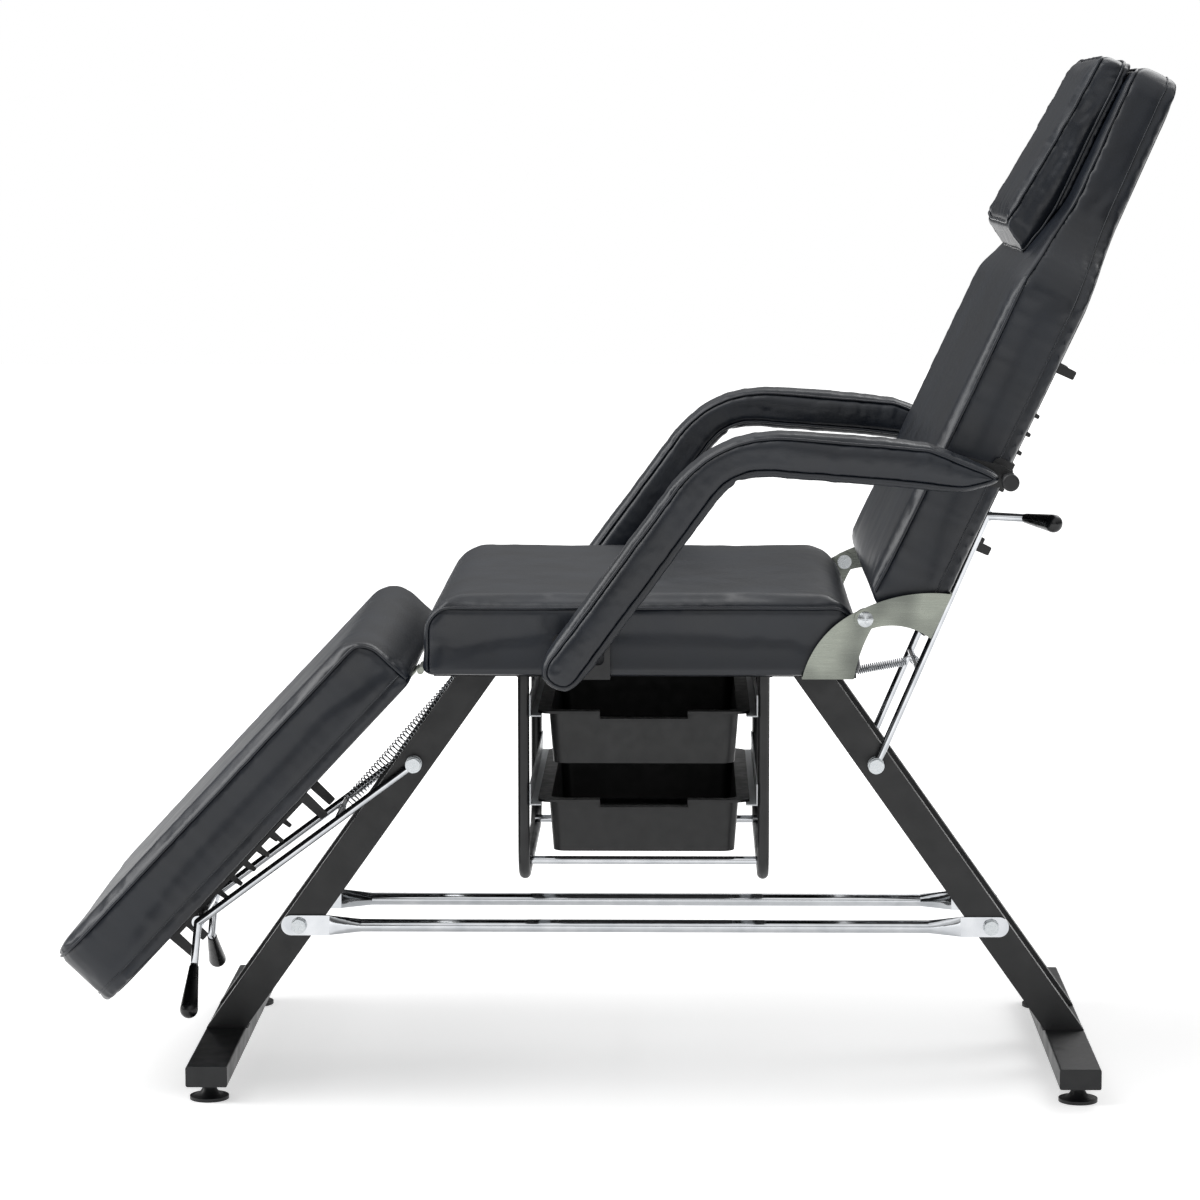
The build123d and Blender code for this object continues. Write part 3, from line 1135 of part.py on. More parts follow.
# The origin goes under the middle of the whole chair
whole = Compound(children=[solid for shape in parts.values() for solid in shape.solids()])
box = whole.bounding_box()
ORIGIN_SHIFT = -(box.min.X + box.max.X) / 2
os.makedirs("parts", exist_ok=True)
for name, shape in parts.items():
    export_step(Pos(ORIGIN_SHIFT, 0, 0) * shape, "parts/" + name + ".step")
print(len(parts), "nodes, box", box.size, "shift", round(ORIGIN_SHIFT, 2))
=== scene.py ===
"""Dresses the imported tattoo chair: sewn cushions, finishes for the steel and plastic, and a plain studio."""
from math import cos, radians, sin
import bmesh
import bpy
import numpy as np
from bpy.props import FloatProperty, FloatVectorProperty, IntProperty, PointerProperty
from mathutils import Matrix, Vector, noise
from mathutils.bvhtree import BVHTree
from mathutils.kdtree import KDTree


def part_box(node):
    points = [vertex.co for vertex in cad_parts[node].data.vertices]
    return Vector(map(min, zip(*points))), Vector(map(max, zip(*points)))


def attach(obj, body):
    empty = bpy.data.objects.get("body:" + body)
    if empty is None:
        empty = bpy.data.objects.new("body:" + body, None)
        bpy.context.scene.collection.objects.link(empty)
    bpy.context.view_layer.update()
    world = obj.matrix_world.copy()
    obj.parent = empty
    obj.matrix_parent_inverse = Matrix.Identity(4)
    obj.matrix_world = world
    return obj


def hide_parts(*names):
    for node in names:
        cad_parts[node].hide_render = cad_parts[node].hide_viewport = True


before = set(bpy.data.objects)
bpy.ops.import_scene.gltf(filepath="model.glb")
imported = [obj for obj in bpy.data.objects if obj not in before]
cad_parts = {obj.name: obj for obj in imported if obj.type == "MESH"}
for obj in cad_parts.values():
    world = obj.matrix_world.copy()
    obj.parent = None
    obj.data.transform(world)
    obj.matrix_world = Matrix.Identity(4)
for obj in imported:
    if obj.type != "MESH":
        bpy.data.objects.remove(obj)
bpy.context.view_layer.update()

bl_info = {
    "name": "Tattoo chair",
    "version": (1, 0, 0),
    "blender": (4, 5, 0),
    "location": "3D View > Sidebar > Chair",
    "description": "Sews the cushions of a reclining tattoo chair and gives its parts their finishes",
    "category": "Add Mesh",
}

MM = 0.001

# Places in the chair's side view, in millimetres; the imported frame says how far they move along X
SEAT = {"front": -263.5, "rear": 259.6, "base": 520.0, "shoulder": 603.0}
HALF = 295.0
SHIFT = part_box("seat_cushion")[0].x / MM - SEAT["front"]
BACK_LEAN = radians(25.2)
BACK_FOOT = (334.4, 563.6)
BACK_ALONG = (sin(BACK_LEAN), cos(BACK_LEAN))
BACK_OUT = (BACK_ALONG[1], -BACK_ALONG[0])
LEG_DROP = radians(46.97)
KNEE = (-271.7, 517.6)
LEG_ALONG = (-cos(LEG_DROP), -sin(LEG_DROP))
LEG_OUT = (LEG_ALONG[1], -LEG_ALONG[0])
LEG_LENGTH = 551.0
BACK_LENGTH = 726.0
SHOULDER = (427.0, 535.0)
NECK_HALF, CROWN_HALF, CROWN_CORNER = 200.0, 158.0, 46.0
ARM_ROUTE = [(-91.0, 541.0), (96.0, 795.0), (352.0, 776.0), (412.0, 762.0)]
ARM_TAIL_TOP = ((325.0, 400.0, 414.0), (804.5, 774.0, 765.0))
ARM_TAIL_LOW = ((362.0, 392.0, 414.0), (745.0, 751.0, 759.0))
ARM_Y = (337.0, 413.0)
PILLOW_HALF = 148.0
# The cover's hem stands off the board; the lining lies over it and sinks a little into the board
HEM, LINING_INSET, LINING_LIFT, LINING_SINK = 1.5 * MM, 13 * MM, 0.9 * MM, 1.0 * MM
WELD = 1e-5
BOARD_GROWTH, POCKET_OVERLAP = 0.004, 1.0 * MM
LAY_REACH = 1.5
SEAT_CORNER, KNEE_CORNER, TOE_CORNER, BOARD_CORNER = 44, 36, 38, 42
LEG_THICK, LEG_SEAM, BACK_PIPING, NECK_PIPING, BACK_REAR_SEAM = 79, 14, -84, -64, -15
THIN_CORD = 1.0 * MM
DOWN = Vector((0, 0, -1))
BACK_WAY = Vector((BACK_OUT[0], 0, BACK_OUT[1]))
LEG_WAY = Vector((-LEG_OUT[0], 0, -LEG_OUT[1]))


class ChairSizes(bpy.types.PropertyGroup):
    """Sizes of the sewing that the photograph shows."""
    piping_radius: FloatProperty(name="Piping radius", description="Half the thickness of the piping cord",
                                 default=1.9 * MM, unit="LENGTH")
    seam_depth: FloatProperty(name="Seam depth", description="How far a seam pulls the cover in",
                              default=2.6 * MM, unit="LENGTH")
    seam_width: FloatProperty(name="Seam width", description="Width of the groove along a seam",
                              default=5.5 * MM, unit="LENGTH")
    pucker_depth: FloatProperty(name="Pucker depth", description="Height of the small folds that start at a seam",
                                default=0.7 * MM, unit="LENGTH")
    pucker_pitch: FloatProperty(name="Pucker pitch", description="Distance between two small folds",
                                default=17.0 * MM, unit="LENGTH")
    swell: FloatProperty(name="Swell", description="Most that the foam may push the cover out",
                         default=2.6 * MM, unit="LENGTH")
    voxel: FloatProperty(name="Cover mesh", description="Edge length of a cushion's mesh before it is smoothed",
                         default=7.0 * MM, unit="LENGTH")
    frames: IntProperty(name="Settling steps", description="Steps for which a cover settles", default=20, min=1)


class ChairColours(bpy.types.PropertyGroup):
    """Light levels of the studio, which a user may change."""
    floor: FloatVectorProperty(name="Floor", description="Colour of the floor", subtype="COLOR",
                               default=(0.86, 0.86, 0.86), min=0, max=1)
    key_power: FloatProperty(name="Key light", description="Power of the large lamp overhead", default=62.0,
                             subtype="POWER")
    fill_power: FloatProperty(name="Fill light", description="Power of the lamp beside the camera", default=10.0,
                              subtype="POWER")
    ambient: FloatProperty(name="Ambient", description="Strength of the light from all round", default=0.34,
                           subtype="FACTOR")


def linear(code):
    """A colour written as sRGB hex, as the linear values that a shader takes."""
    parts = [int(code[i:i + 2], 16) / 255 for i in (1, 3, 5)]
    return tuple(v / 12.92 if v <= 0.04045 else ((v + 0.055) / 1.055) ** 2.4 for v in parts) + (1.0,)


# Materials
def node(tree, kind, settings=None, values=None, links=None):
    """Adds one node, with its settings, its fixed values and what feeds its sockets."""
    made = tree.nodes.new(kind)
    for name, value in (settings or {}).items():
        setattr(made, name, value)
    for socket, value in (values or {}).items():
        made.inputs[socket].default_value = value
    for socket, source in (links or {}).items():
        tree.links.new(source, made.inputs[socket])
    return made


def finish(name, shader_values):
    """A new material with one Principled shader, and the Object coordinates that its patterns read."""
    material = bpy.data.materials.new(name)
    material.use_nodes = True
    tree = material.node_tree
    tree.nodes.clear()
    place = node(tree, "ShaderNodeTexCoord").outputs["Object"]
    shader = node(tree, "ShaderNodeBsdfPrincipled", values=shader_values)
    node(tree, "ShaderNodeOutputMaterial", links={"Surface": shader.outputs["BSDF"]})
    return material, tree, place, shader


def ramp(tree, source, stops):
    """A colour ramp over a pattern, with its stops as (place, colour)."""
    made = node(tree, "ShaderNodeValToRGB", links={"Fac": source})
    elements = made.color_ramp.elements
    while len(elements) < len(stops):
        elements.new(0.5)
    for element, (place, colour) in zip(elements, stops):
        element.position, element.color = place, colour
    return made.outputs["Color"]


def per_metre(size_mm):
    """The scale of a pattern whose features are this far apart."""
    return 1 / (size_mm * MM)


def pattern(tree, place, size_mm, detail=2.0, stretch=None):
    """Noise whose patches are of this size, stretched along an axis for brushed or grained surfaces."""
    if stretch:
        place = node(tree, "ShaderNodeMapping", values={"Scale": stretch}, links={"Vector": place}).outputs["Vector"]
    made = node(tree, "ShaderNodeTexNoise", values={"Scale": per_metre(size_mm), "Detail": detail},
                links={"Vector": place})
    return made.outputs["Fac"]


def grey(level):
    return (level, level, level, 1.0)


def bump(tree, height, depth_mm, strength=1.0, after=None):
    links = {"Height": height}
    if after:
        links["Normal"] = after
    made = node(tree, "ShaderNodeBump", values={"Distance": depth_mm * MM, "Strength": strength}, links=links)
    return made.outputs["Normal"]


def leatherette():
    """Black PU leatherette, embossed with a fine pebble grain, which breaks up its satin sheen."""
    material, tree, place, shader = finish("black_pu_leatherette", {
        "Roughness": 0.37, "Specular IOR Level": 0.5})
    patches = pattern(tree, place, 90, 3)
    tree.links.new(ramp(tree, patches, [(0.3, linear("#0a0f17")), (0.7, linear("#0f1620"))]),
                   shader.inputs["Base Color"])
    rough = pattern(tree, place, 45, 4)
    tree.links.new(ramp(tree, rough, [(0.3, grey(0.33)), (0.7, grey(0.41))]), shader.inputs["Roughness"])
    # The real pebbles are about 0.9 mm apart; they are drawn at 1.6 mm, so that the render shows them
    pebbles = node(tree, "ShaderNodeTexVoronoi", {"feature": "SMOOTH_F1"}, {"Scale": per_metre(1.6)},
                   {"Vector": place})
    soft = bump(tree, pattern(tree, place, 60, 1), 0.4, 0.25)
    fine = bump(tree, pebbles.outputs["Distance"], 0.1, 0.35, soft)
    tree.links.new(fine, shader.inputs["Normal"])
    return material


def powder_coat():
    """Black powder coat on steel, baked, with the faint orange peel that blurs its highlights."""
    material, tree, place, shader = finish("black_powder_coated_steel", {
        "Roughness": 0.4, "Specular IOR Level": 0.5})
    tree.links.new(ramp(tree, pattern(tree, place, 60, 3), [(0.3, linear("#0c0d0f")), (0.7, linear("#121315"))]),
                   shader.inputs["Base Color"])
    tree.links.new(ramp(tree, pattern(tree, place, 25, 4), [(0.3, grey(0.33)), (0.7, grey(0.46))]),
                   shader.inputs["Roughness"])
    tree.links.new(bump(tree, pattern(tree, place, 1.8, 1), 0.12, 0.4), shader.inputs["Normal"])
    return material


def bright_chrome():
    """Chrome plate on drawn steel, buffed, a near mirror with very slight waves."""
    material, tree, place, shader = finish("chromed_steel", {"Metallic": 1.0, "Roughness": 0.07})
    tree.links.new(ramp(tree, pattern(tree, place, 30, 2), [(0.3, linear("#b9bcc0")), (0.7, linear("#cfd1d4"))]),
                   shader.inputs["Base Color"])
    tree.links.new(ramp(tree, pattern(tree, place, 12, 4), [(0.35, grey(0.05)), (0.7, grey(0.12))]),
                   shader.inputs["Roughness"])
    tree.links.new(bump(tree, pattern(tree, place, 22, 1), 0.15, 0.2), shader.inputs["Normal"])
    return material


def brushed_plate():
    """Stainless sheet, brushed along its length, whose fine lines stretch the highlights."""
    material, tree, place, shader = finish("brushed_stainless_sheet", {"Metallic": 1.0, "Roughness": 0.28})
    # The brush lines are about 0.2 mm apart; they are drawn at 0.7 mm, so that the render shows them
    lines = pattern(tree, place, 0.7, 2, (0.03, 1.0, 1.0))
    cast = pattern(tree, place, 55, 1)
    tree.links.new(ramp(tree, cast, [(0.35, linear("#5c5f5b")), (0.65, linear("#90948b"))]),
                   shader.inputs["Base Color"])
    tree.links.new(ramp(tree, lines, [(0.3, grey(0.22)), (0.7, grey(0.36))]), shader.inputs["Roughness"])
    tree.links.new(bump(tree, lines, 0.02, 0.2), shader.inputs["Normal"])
    return material


def zinc_plate():
    """Bright zinc plate on turned and pressed hardware, slightly blotched."""
    material, tree, place, shader = finish("zinc_plated_steel", {"Metallic": 1.0, "Roughness": 0.3})
    blotch = pattern(tree, place, 3, 3)
    tree.links.new(ramp(tree, blotch, [(0.3, linear("#b3b8bb")), (0.7, linear("#d0d3d5"))]),
                   shader.inputs["Base Color"])
    tree.links.new(ramp(tree, blotch, [(0.3, grey(0.22)), (0.7, grey(0.38))]), shader.inputs["Roughness"])
    return material


def spring_wire():
    """Hard drawn spring wire, oiled, darker between its turns."""
    material, tree, place, shader = finish("nickel_spring_wire", {"Metallic": 1.0, "Roughness": 0.22})
    tree.links.new(ramp(tree, pattern(tree, place, 4, 3), [(0.3, linear("#9a9da1")), (0.7, linear("#c5c8cb"))]),
                   shader.inputs["Base Color"])
    return material


def galvanised_rail():
    """Cold rolled rail with a pale coat, matt, lightly scuffed where the tray runs."""
    material, tree, place, shader = finish("pale_coated_rail_steel", {"Metallic": 0.35, "Roughness": 0.4})
    scuffs = pattern(tree, place, 6, 4, (1.0, 0.08, 1.0))
    tree.links.new(ramp(tree, scuffs, [(0.3, linear("#b4b8bb")), (0.7, linear("#d3d6d8"))]),
                   shader.inputs["Base Color"])
    tree.links.new(ramp(tree, scuffs, [(0.3, grey(0.3)), (0.7, grey(0.5))]), shader.inputs["Roughness"])
    return material


def moulded_plastic(name, dark, pale, low, high, grain_mm, depth_mm):
    """Moulded plastic: the grain of its mould sets how broad its highlights are."""
    material, tree, place, shader = finish(name, {"Roughness": (low + high) / 2, "Specular IOR Level": 0.45})
    tree.links.new(ramp(tree, pattern(tree, place, 50, 3), [(0.3, linear(dark)), (0.7, linear(pale))]),
                   shader.inputs["Base Color"])
    tree.links.new(ramp(tree, pattern(tree, place, 14, 3), [(0.3, grey(low)), (0.7, grey(high))]),
                   shader.inputs["Roughness"])
    tree.links.new(bump(tree, pattern(tree, place, grain_mm, 1), depth_mm, 0.35), shader.inputs["Normal"])
    return material


def plywood():
    """Raw plywood, sanded, with long grain and a darker line for each glue layer."""
    material, tree, place, shader = finish("raw_plywood", {"Roughness": 0.68, "Specular IOR Level": 0.3})
    grain = pattern(tree, place, 5, 4, (0.12, 1.0, 1.0))
    tree.links.new(ramp(tree, grain, [(0.3, linear("#96734a")), (0.7, linear("#b8925f"))]),
                   shader.inputs["Base Color"])
    tree.links.new(bump(tree, grain, 0.15, 0.4), shader.inputs["Normal"])
    return material


def lining_cloth():
    """Black spun lining, bonded in small dots, dull and slightly rough."""
    material, tree, place, shader = finish("black_spun_lining", {
        "Roughness": 0.9, "Specular IOR Level": 0.15, "Sheen Weight": 0.1, "Sheen Roughness": 0.6})
    tree.links.new(ramp(tree, pattern(tree, place, 30, 4), [(0.3, linear("#121315")), (0.7, linear("#191a1d"))]),
                   shader.inputs["Base Color"])
    dots = node(tree, "ShaderNodeTexVoronoi", {}, {"Scale": per_metre(2.2), "Randomness": 0.2}, {"Vector": place})
    tree.links.new(bump(tree, dots.outputs["Distance"], 0.3, 0.5), shader.inputs["Normal"])
    return material


# Points in the side view, and routes along the seams
def at(x, y, z):
    """A place in metres from the side view's millimetres."""
    return Vector(((x + SHIFT) * MM, y * MM, z * MM))


def at_back(along, y, out):
    return at(BACK_FOOT[0] + BACK_ALONG[0] * along + BACK_OUT[0] * out, y,
              BACK_FOOT[1] + BACK_ALONG[1] * along + BACK_OUT[1] * out)


def at_leg(along, y, out):
    return at(KNEE[0] + LEG_ALONG[0] * along + LEG_OUT[0] * out, y,
              KNEE[1] + LEG_ALONG[1] * along + LEG_OUT[1] * out)


def rounded(corners, radii, closed=False, step=4.0):
    """A route through these corners, each rounded by its own radius, with points a step apart."""
    count = len(corners)
    dense = []
    for i, corner in enumerate(corners):
        here = Vector(corner)
        radius = radii[i] if isinstance(radii, (list, tuple)) else radii
        ends = i in (0, count - 1) and not closed
        if ends or radius <= 0:
            dense.append(here)
            continue
        before, after = Vector(corners[i - 1]), Vector(corners[(i + 1) % count])
        cut_in = min(radius, (before - here).length * 0.49)
        cut_out = min(radius, (after - here).length * 0.49)
        start = here + (before - here).normalized() * cut_in
        end = here + (after - here).normalized() * cut_out
        for k in range(9):
            t = k / 8
            dense.append(start * (1 - t) ** 2 + here * 2 * t * (1 - t) + end * t ** 2)
    if closed:
        dense.append(dense[0])
    route = [dense[0]]
    for a, b in zip(dense, dense[1:]):
        parts = max(1, round((b - a).length / step))
        route += [a.lerp(b, k / parts) for k in range(1, parts + 1) if (b - a).length > 1e-6]
    return route[:-1] if closed else route


def drawn(place, route):
    """A route's points in the chair's frame; place takes a point of the route."""
    return [place(*point) for point in route]


# Cushions
def solid_of(cad_node, name, board=None, way=None):
    """A copy of a CAD node's mesh, closed, as the start of a cover. With a board, the cover wraps it too."""
    made = bmesh.new()
    made.from_mesh(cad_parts[cad_node].data)
    bmesh.ops.remove_doubles(made, verts=made.verts, dist=WELD)
    if board:
        core = bmesh.new()
        core.from_mesh(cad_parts[board].data)
        bmesh.ops.remove_doubles(core, verts=core.verts, dist=WELD)
        centre = sum((v.co for v in core.verts), Vector()) / len(core.verts)
        for vert in core.verts:
            offset = vert.co - centre
            vert.co += offset * BOARD_GROWTH + way * (HEM if offset.dot(way) > 0 else -POCKET_OVERLAP)
        grown = bpy.data.meshes.new("core")
        core.to_mesh(grown)
        core.free()
        made.from_mesh(grown)
        bpy.data.meshes.remove(grown)
    mesh = bpy.data.meshes.new(name)
    made.to_mesh(mesh)
    made.free()
    return link(bpy.data.objects.new(name, mesh))


def lining(board, name, way, body):
    """The black cloth that closes a board's outer face, a little smaller than the board."""
    made = bmesh.new()
    made.from_mesh(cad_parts[board].data)
    bmesh.ops.remove_doubles(made, verts=made.verts, dist=WELD)
    low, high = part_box(board)
    centre = (low + high) / 2
    across = way.cross(Vector((0, 1, 0))).normalized()
    outer = max((v.co - centre).dot(way) for v in made.verts)
    half_across = max(abs((v.co - centre).dot(across)) for v in made.verts)
    shrink_y = 1 - LINING_INSET / ((high.y - low.y) / 2)
    shrink_across = 1 - LINING_INSET / half_across
    for vert in made.verts:
        offset = vert.co - centre
        level = outer + HEM + LINING_LIFT if offset.dot(way) > 0 else outer - LINING_SINK
        sideways = across * offset.dot(across) * shrink_across
        vert.co = centre + Vector((0, offset.y * shrink_y, 0)) + sideways + way * level
    mesh = bpy.data.meshes.new(name)
    made.to_mesh(mesh)
    made.free()
    cloth = dress(link(bpy.data.objects.new(name, mesh)), made_finish("lining"), body)
    cloth.data.shade_flat()
    return cloth


def link(thing):
    bpy.context.scene.collection.objects.link(thing)
    return thing


def baked(thing):
    """Applies the modifiers of a piece."""
    bpy.context.view_layer.update()
    graph = bpy.context.evaluated_depsgraph_get()
    mesh = bpy.data.meshes.new_from_object(thing.evaluated_get(graph))
    thing.modifiers.clear()
    thing.data = mesh
    mesh.name = thing.name
    return thing


def coordinates(thing):
    points = np.empty(len(thing.data.vertices) * 3)
    thing.data.vertices.foreach_get("co", points)
    return points.reshape(-1, 3)


def normals(thing):
    ways = np.empty(len(thing.data.vertices) * 3)
    thing.data.vertices.foreach_get("normal", ways)
    return ways.reshape(-1, 3)


def reshape(thing, points):
    thing.data.vertices.foreach_set("co", points.ravel())
    thing.data.update()


def even_out(thing, repeats):
    """Smooths away the steps that the voxels leave."""
    made = bmesh.new()
    made.from_mesh(thing.data)
    for _ in range(repeats):
        bmesh.ops.smooth_vert(made, verts=made.verts, factor=0.5, use_axis_x=True, use_axis_y=True, use_axis_z=True)
    made.to_mesh(thing.data)
    made.free()


def settle(thing, held, swell, side_swell, sizes):
    """Lets the foam press the cover out for a few steps, and caps how far each point may go."""
    start = coordinates(thing)
    group = thing.vertex_groups.new(name="held")
    group.add([int(i) for i in np.nonzero(held)[0]], 1.0, "REPLACE")
    cloth = thing.modifiers.new("cover", "CLOTH")
    settings = cloth.settings
    settings.quality = 4
    settings.tension_stiffness = settings.compression_stiffness = 20
    settings.bending_stiffness = 2
    settings.use_pressure = True
    settings.uniform_pressure_force = 4
    settings.effector_weights.gravity = 0
    settings.vertex_group_mass = group.name
    cloth.point_cache.frame_start, cloth.point_cache.frame_end = 1, sizes.frames
    for step in range(1, sizes.frames + 1):
        bpy.context.scene.frame_set(step)
    baked(thing)
    thing.vertex_groups.clear()
    moved = coordinates(thing) - start
    moved[:, 1] = np.clip(moved[:, 1], -side_swell, side_swell)
    length = np.linalg.norm(moved, axis=1, keepdims=True)
    moved *= np.minimum(1.0, swell / np.maximum(length, 1e-9))
    reshape(thing, start + moved)
    bpy.context.scene.frame_set(1)


def cushion(thing, rests, sizes, shrink=1.5 * MM, swell=None, side_swell=1.0 * MM, voxel=None):
    """Remeshes a closed form, lays it back on that form, lets it swell, and smooths it."""
    form = tree_of(thing)
    remesh = thing.modifiers.new("voxels", "REMESH")
    remesh.mode = "VOXEL"
    remesh.voxel_size = voxel or sizes.voxel
    baked(thing)
    even_out(thing, 3)
    ways = normals(thing)
    held = rests(coordinates(thing), ways)
    laid = []
    for point in coordinates(thing):
        spot, _, _, gap = form.find_nearest(Vector(point))
        laid.append(spot if gap < sizes.voxel * LAY_REACH else point)
    reshape(thing, np.array(laid, dtype=float))
    even_out(thing, 1)
    ways = normals(thing)
    reshape(thing, coordinates(thing) - ways * shrink * (~held)[:, None])
    settle(thing, held, swell or sizes.swell, side_swell, sizes)
    smooth = thing.modifiers.new("smooth", "SUBSURF")
    smooth.levels = smooth.render_levels = 1
    baked(thing)
    return thing


def tree_of(thing):
    return BVHTree.FromPolygons([v.co for v in thing.data.vertices], [tuple(p.vertices) for p in thing.data.polygons])


def onto(thing, route, lift=0.0):
    """Moves a route onto the surface of a cushion, then away from it by the lift."""
    surface = tree_of(thing)
    placed = []
    for point in route:
        spot, way, _, _ = surface.find_nearest(point)
        placed.append(spot + way * lift)
    return placed


def sew(thing, routes, sizes, depth=1.0, puckers=1.0, reach=34 * MM):
    """Pulls a cushion in along its seams, with the small folds that start there."""
    points, ways = coordinates(thing), normals(thing)
    change = np.zeros(len(points))
    for number, route in enumerate(routes):
        finder = KDTree(len(route))
        run = [0.0]
        for a, b in zip(route, route[1:]):
            run.append(run[-1] + (b - a).length)
        for i, point in enumerate(route):
            finder.insert(point, i)
        finder.balance()
        for i, point in enumerate(points):
            _, nearest, gap = finder.find(point)
            if gap > reach * 2:
                continue
            s = run[nearest] / sizes.pucker_pitch
            ripple = noise.noise(Vector((s, number * 7.3, 0.0))) + 0.5 * noise.noise(Vector((s * 2.3, 5.1, number)))
            change[i] -= sizes.seam_depth * depth * np.exp(-(gap / sizes.seam_width) ** 2)
            change[i] += sizes.pucker_depth * puckers * ripple * np.exp(-(gap / reach) ** 2)
    reshape(thing, points + ways * change[:, None])


def relax(thing, height_mm, size_mm, seed):
    """Gives a cover the slight, broad waves of stretched leatherette over foam."""
    points, ways = coordinates(thing), normals(thing)
    size = size_mm * MM
    change = np.array([noise.noise(Vector(p) / size + Vector((seed, 0.0, 0.0))) for p in points]) * height_mm * MM
    reshape(thing, points + ways * change[:, None])


def dress(thing, material, body, replaces=()):
    """Gives a piece its finish, slot and body, and hides the nodes that it stands for."""
    thing.data.materials.clear()
    thing.data.materials.append(material)
    thing.data.shade_smooth()
    if replaces:
        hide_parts(*replaces)
    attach(thing, body)
    return thing


def welt(name, route, radius, material, body, closed=False):
    """A piping cord sewn along a route."""
    curve = bpy.data.curves.new(name, "CURVE")
    curve.dimensions = "3D"
    curve.bevel_depth = radius
    curve.bevel_resolution = 2
    curve.use_fill_caps = True
    line = curve.splines.new("POLY")
    line.points.add(len(route) - 1)
    for point, spot in zip(line.points, route):
        point.co = (*spot, 1.0)
    line.use_cyclic_u = closed
    source = bpy.data.objects.new(name + "_line", curve)
    link(source)
    bpy.context.view_layer.update()
    mesh = bpy.data.meshes.new_from_object(source.evaluated_get(bpy.context.evaluated_depsgraph_get()))
    bpy.data.objects.remove(source)
    mesh.name = name
    return dress(link(bpy.data.objects.new(name, mesh)), material, body)


def smoothed(route, repeats=4, closed=False):
    """Evens out a route, so that a cord on it doesn't kink."""
    for _ in range(repeats):
        inner = [(route[i - 1] + route[i] * 2 + route[(i + 1) % len(route)]) / 4 for i in range(len(route))]
        route = inner if closed else [route[0]] + inner[1:-1] + [route[-1]]
    return route


def pipe(thing, name, routes, material, body, sizes, closed=False, radius=None, depth=1.0, puckers=1.0):
    """Sews a cushion along these routes and lays piping in the seams."""
    routes = [smoothed(onto(thing, route), 3, closed) for route in routes]
    sew(thing, routes, sizes, depth, puckers)
    radius = radius or sizes.piping_radius
    for number, route in enumerate(routes):
        laid = smoothed(onto(thing, route, radius * 0.75), 3, closed)
        welt(name if len(routes) == 1 else name + "_" + str(number + 1), laid, radius, material, body, closed)


class Maker(bpy.types.Operator):
    """Shared parts of the operators that make pieces."""
    bl_options = {"UNDO"}

    @property
    def sizes(self):
        return bpy.context.scene.chair_sizes


FINISHES = {
    "black_plastic": lambda: moulded_plastic("black_moulded_nylon", "#131416", "#1a1b1d", 0.38, 0.52, 1.2, 0.1),
    "grip_plastic": lambda: moulded_plastic("black_phenolic_grip", "#101113", "#161719", 0.22, 0.34, 3.0, 0.06),
    "tray_plastic": lambda: moulded_plastic("black_moulded_polypropylene", "#090a0b", "#0f1012", 0.34, 0.48, 1.0,
                                            0.12),
    "black_steel": powder_coat,
    "rail_steel": galvanised_rail,
    "chrome": bright_chrome,
    "spring_steel": spring_wire,
    "hinge_steel": brushed_plate,
    "zinc_steel": zinc_plate,
    "board_wood": plywood,
    "upholstery": leatherette,
    "lining": lining_cloth,
}

# Which finish each CAD node has, by the start of its name
NODE_FINISHES = [
    ("foot_bar_caps", "black_plastic"), ("foot_bar", "black_steel"), ("levelling_foot", "black_plastic"),
    ("leg_hinge", "hinge_steel"), ("leg_rest_rack", "black_steel"), ("leg_rest_board", "board_wood"),
    ("leg_rest_cushion", "upholstery"), ("leg_", "black_steel"), ("seat_frame", "black_steel"),
    ("seat_hinge_plate", "hinge_steel"), ("back_hinge_plate", "hinge_steel"), ("seat_board", "board_wood"),
    ("back_board", "board_wood"), ("back_rack", "black_steel"), ("back_pivot_rivet", "zinc_steel"),
    ("stretcher_bolts", "zinc_steel"), ("stretcher", "chrome"), ("tray_hoop", "black_steel"),
    ("tray_bars", "chrome"), ("tray_rails", "rail_steel"), ("tray_", "tray_plastic"),
    ("front_strut_grips", "grip_plastic"), ("rear_strut_grips", "grip_plastic"),
    ("front_strut_bolts", "zinc_steel"), ("rear_strut_bolts", "zinc_steel"), ("front_strut", "chrome"),
    ("rear_strut", "chrome"), ("front_spring", "spring_steel"), ("rear_spring", "spring_steel"),
    ("armrest_bar", "black_steel"), ("armrest_bracket", "black_steel"), ("armrest_caps", "black_plastic"),
    ("armrest_slot", "black_steel"), ("", "upholstery"),
]
MADE = {}


def made_finish(name):
    if name not in MADE:
        MADE[name] = FINISHES[name]()
    return MADE[name]


class CHAIR_OT_finishes(Maker):
    """Gives every CAD node the finish of what it is made of"""
    bl_idname = "chair.finishes"
    bl_label = "Give parts their finishes"

    def execute(self, context):
        for name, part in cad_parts.items():
            kind = next(finish for start, finish in NODE_FINISHES if name.startswith(start))
            part.data.materials.clear()
            part.data.materials.append(made_finish(kind))
        return {"FINISHED"}


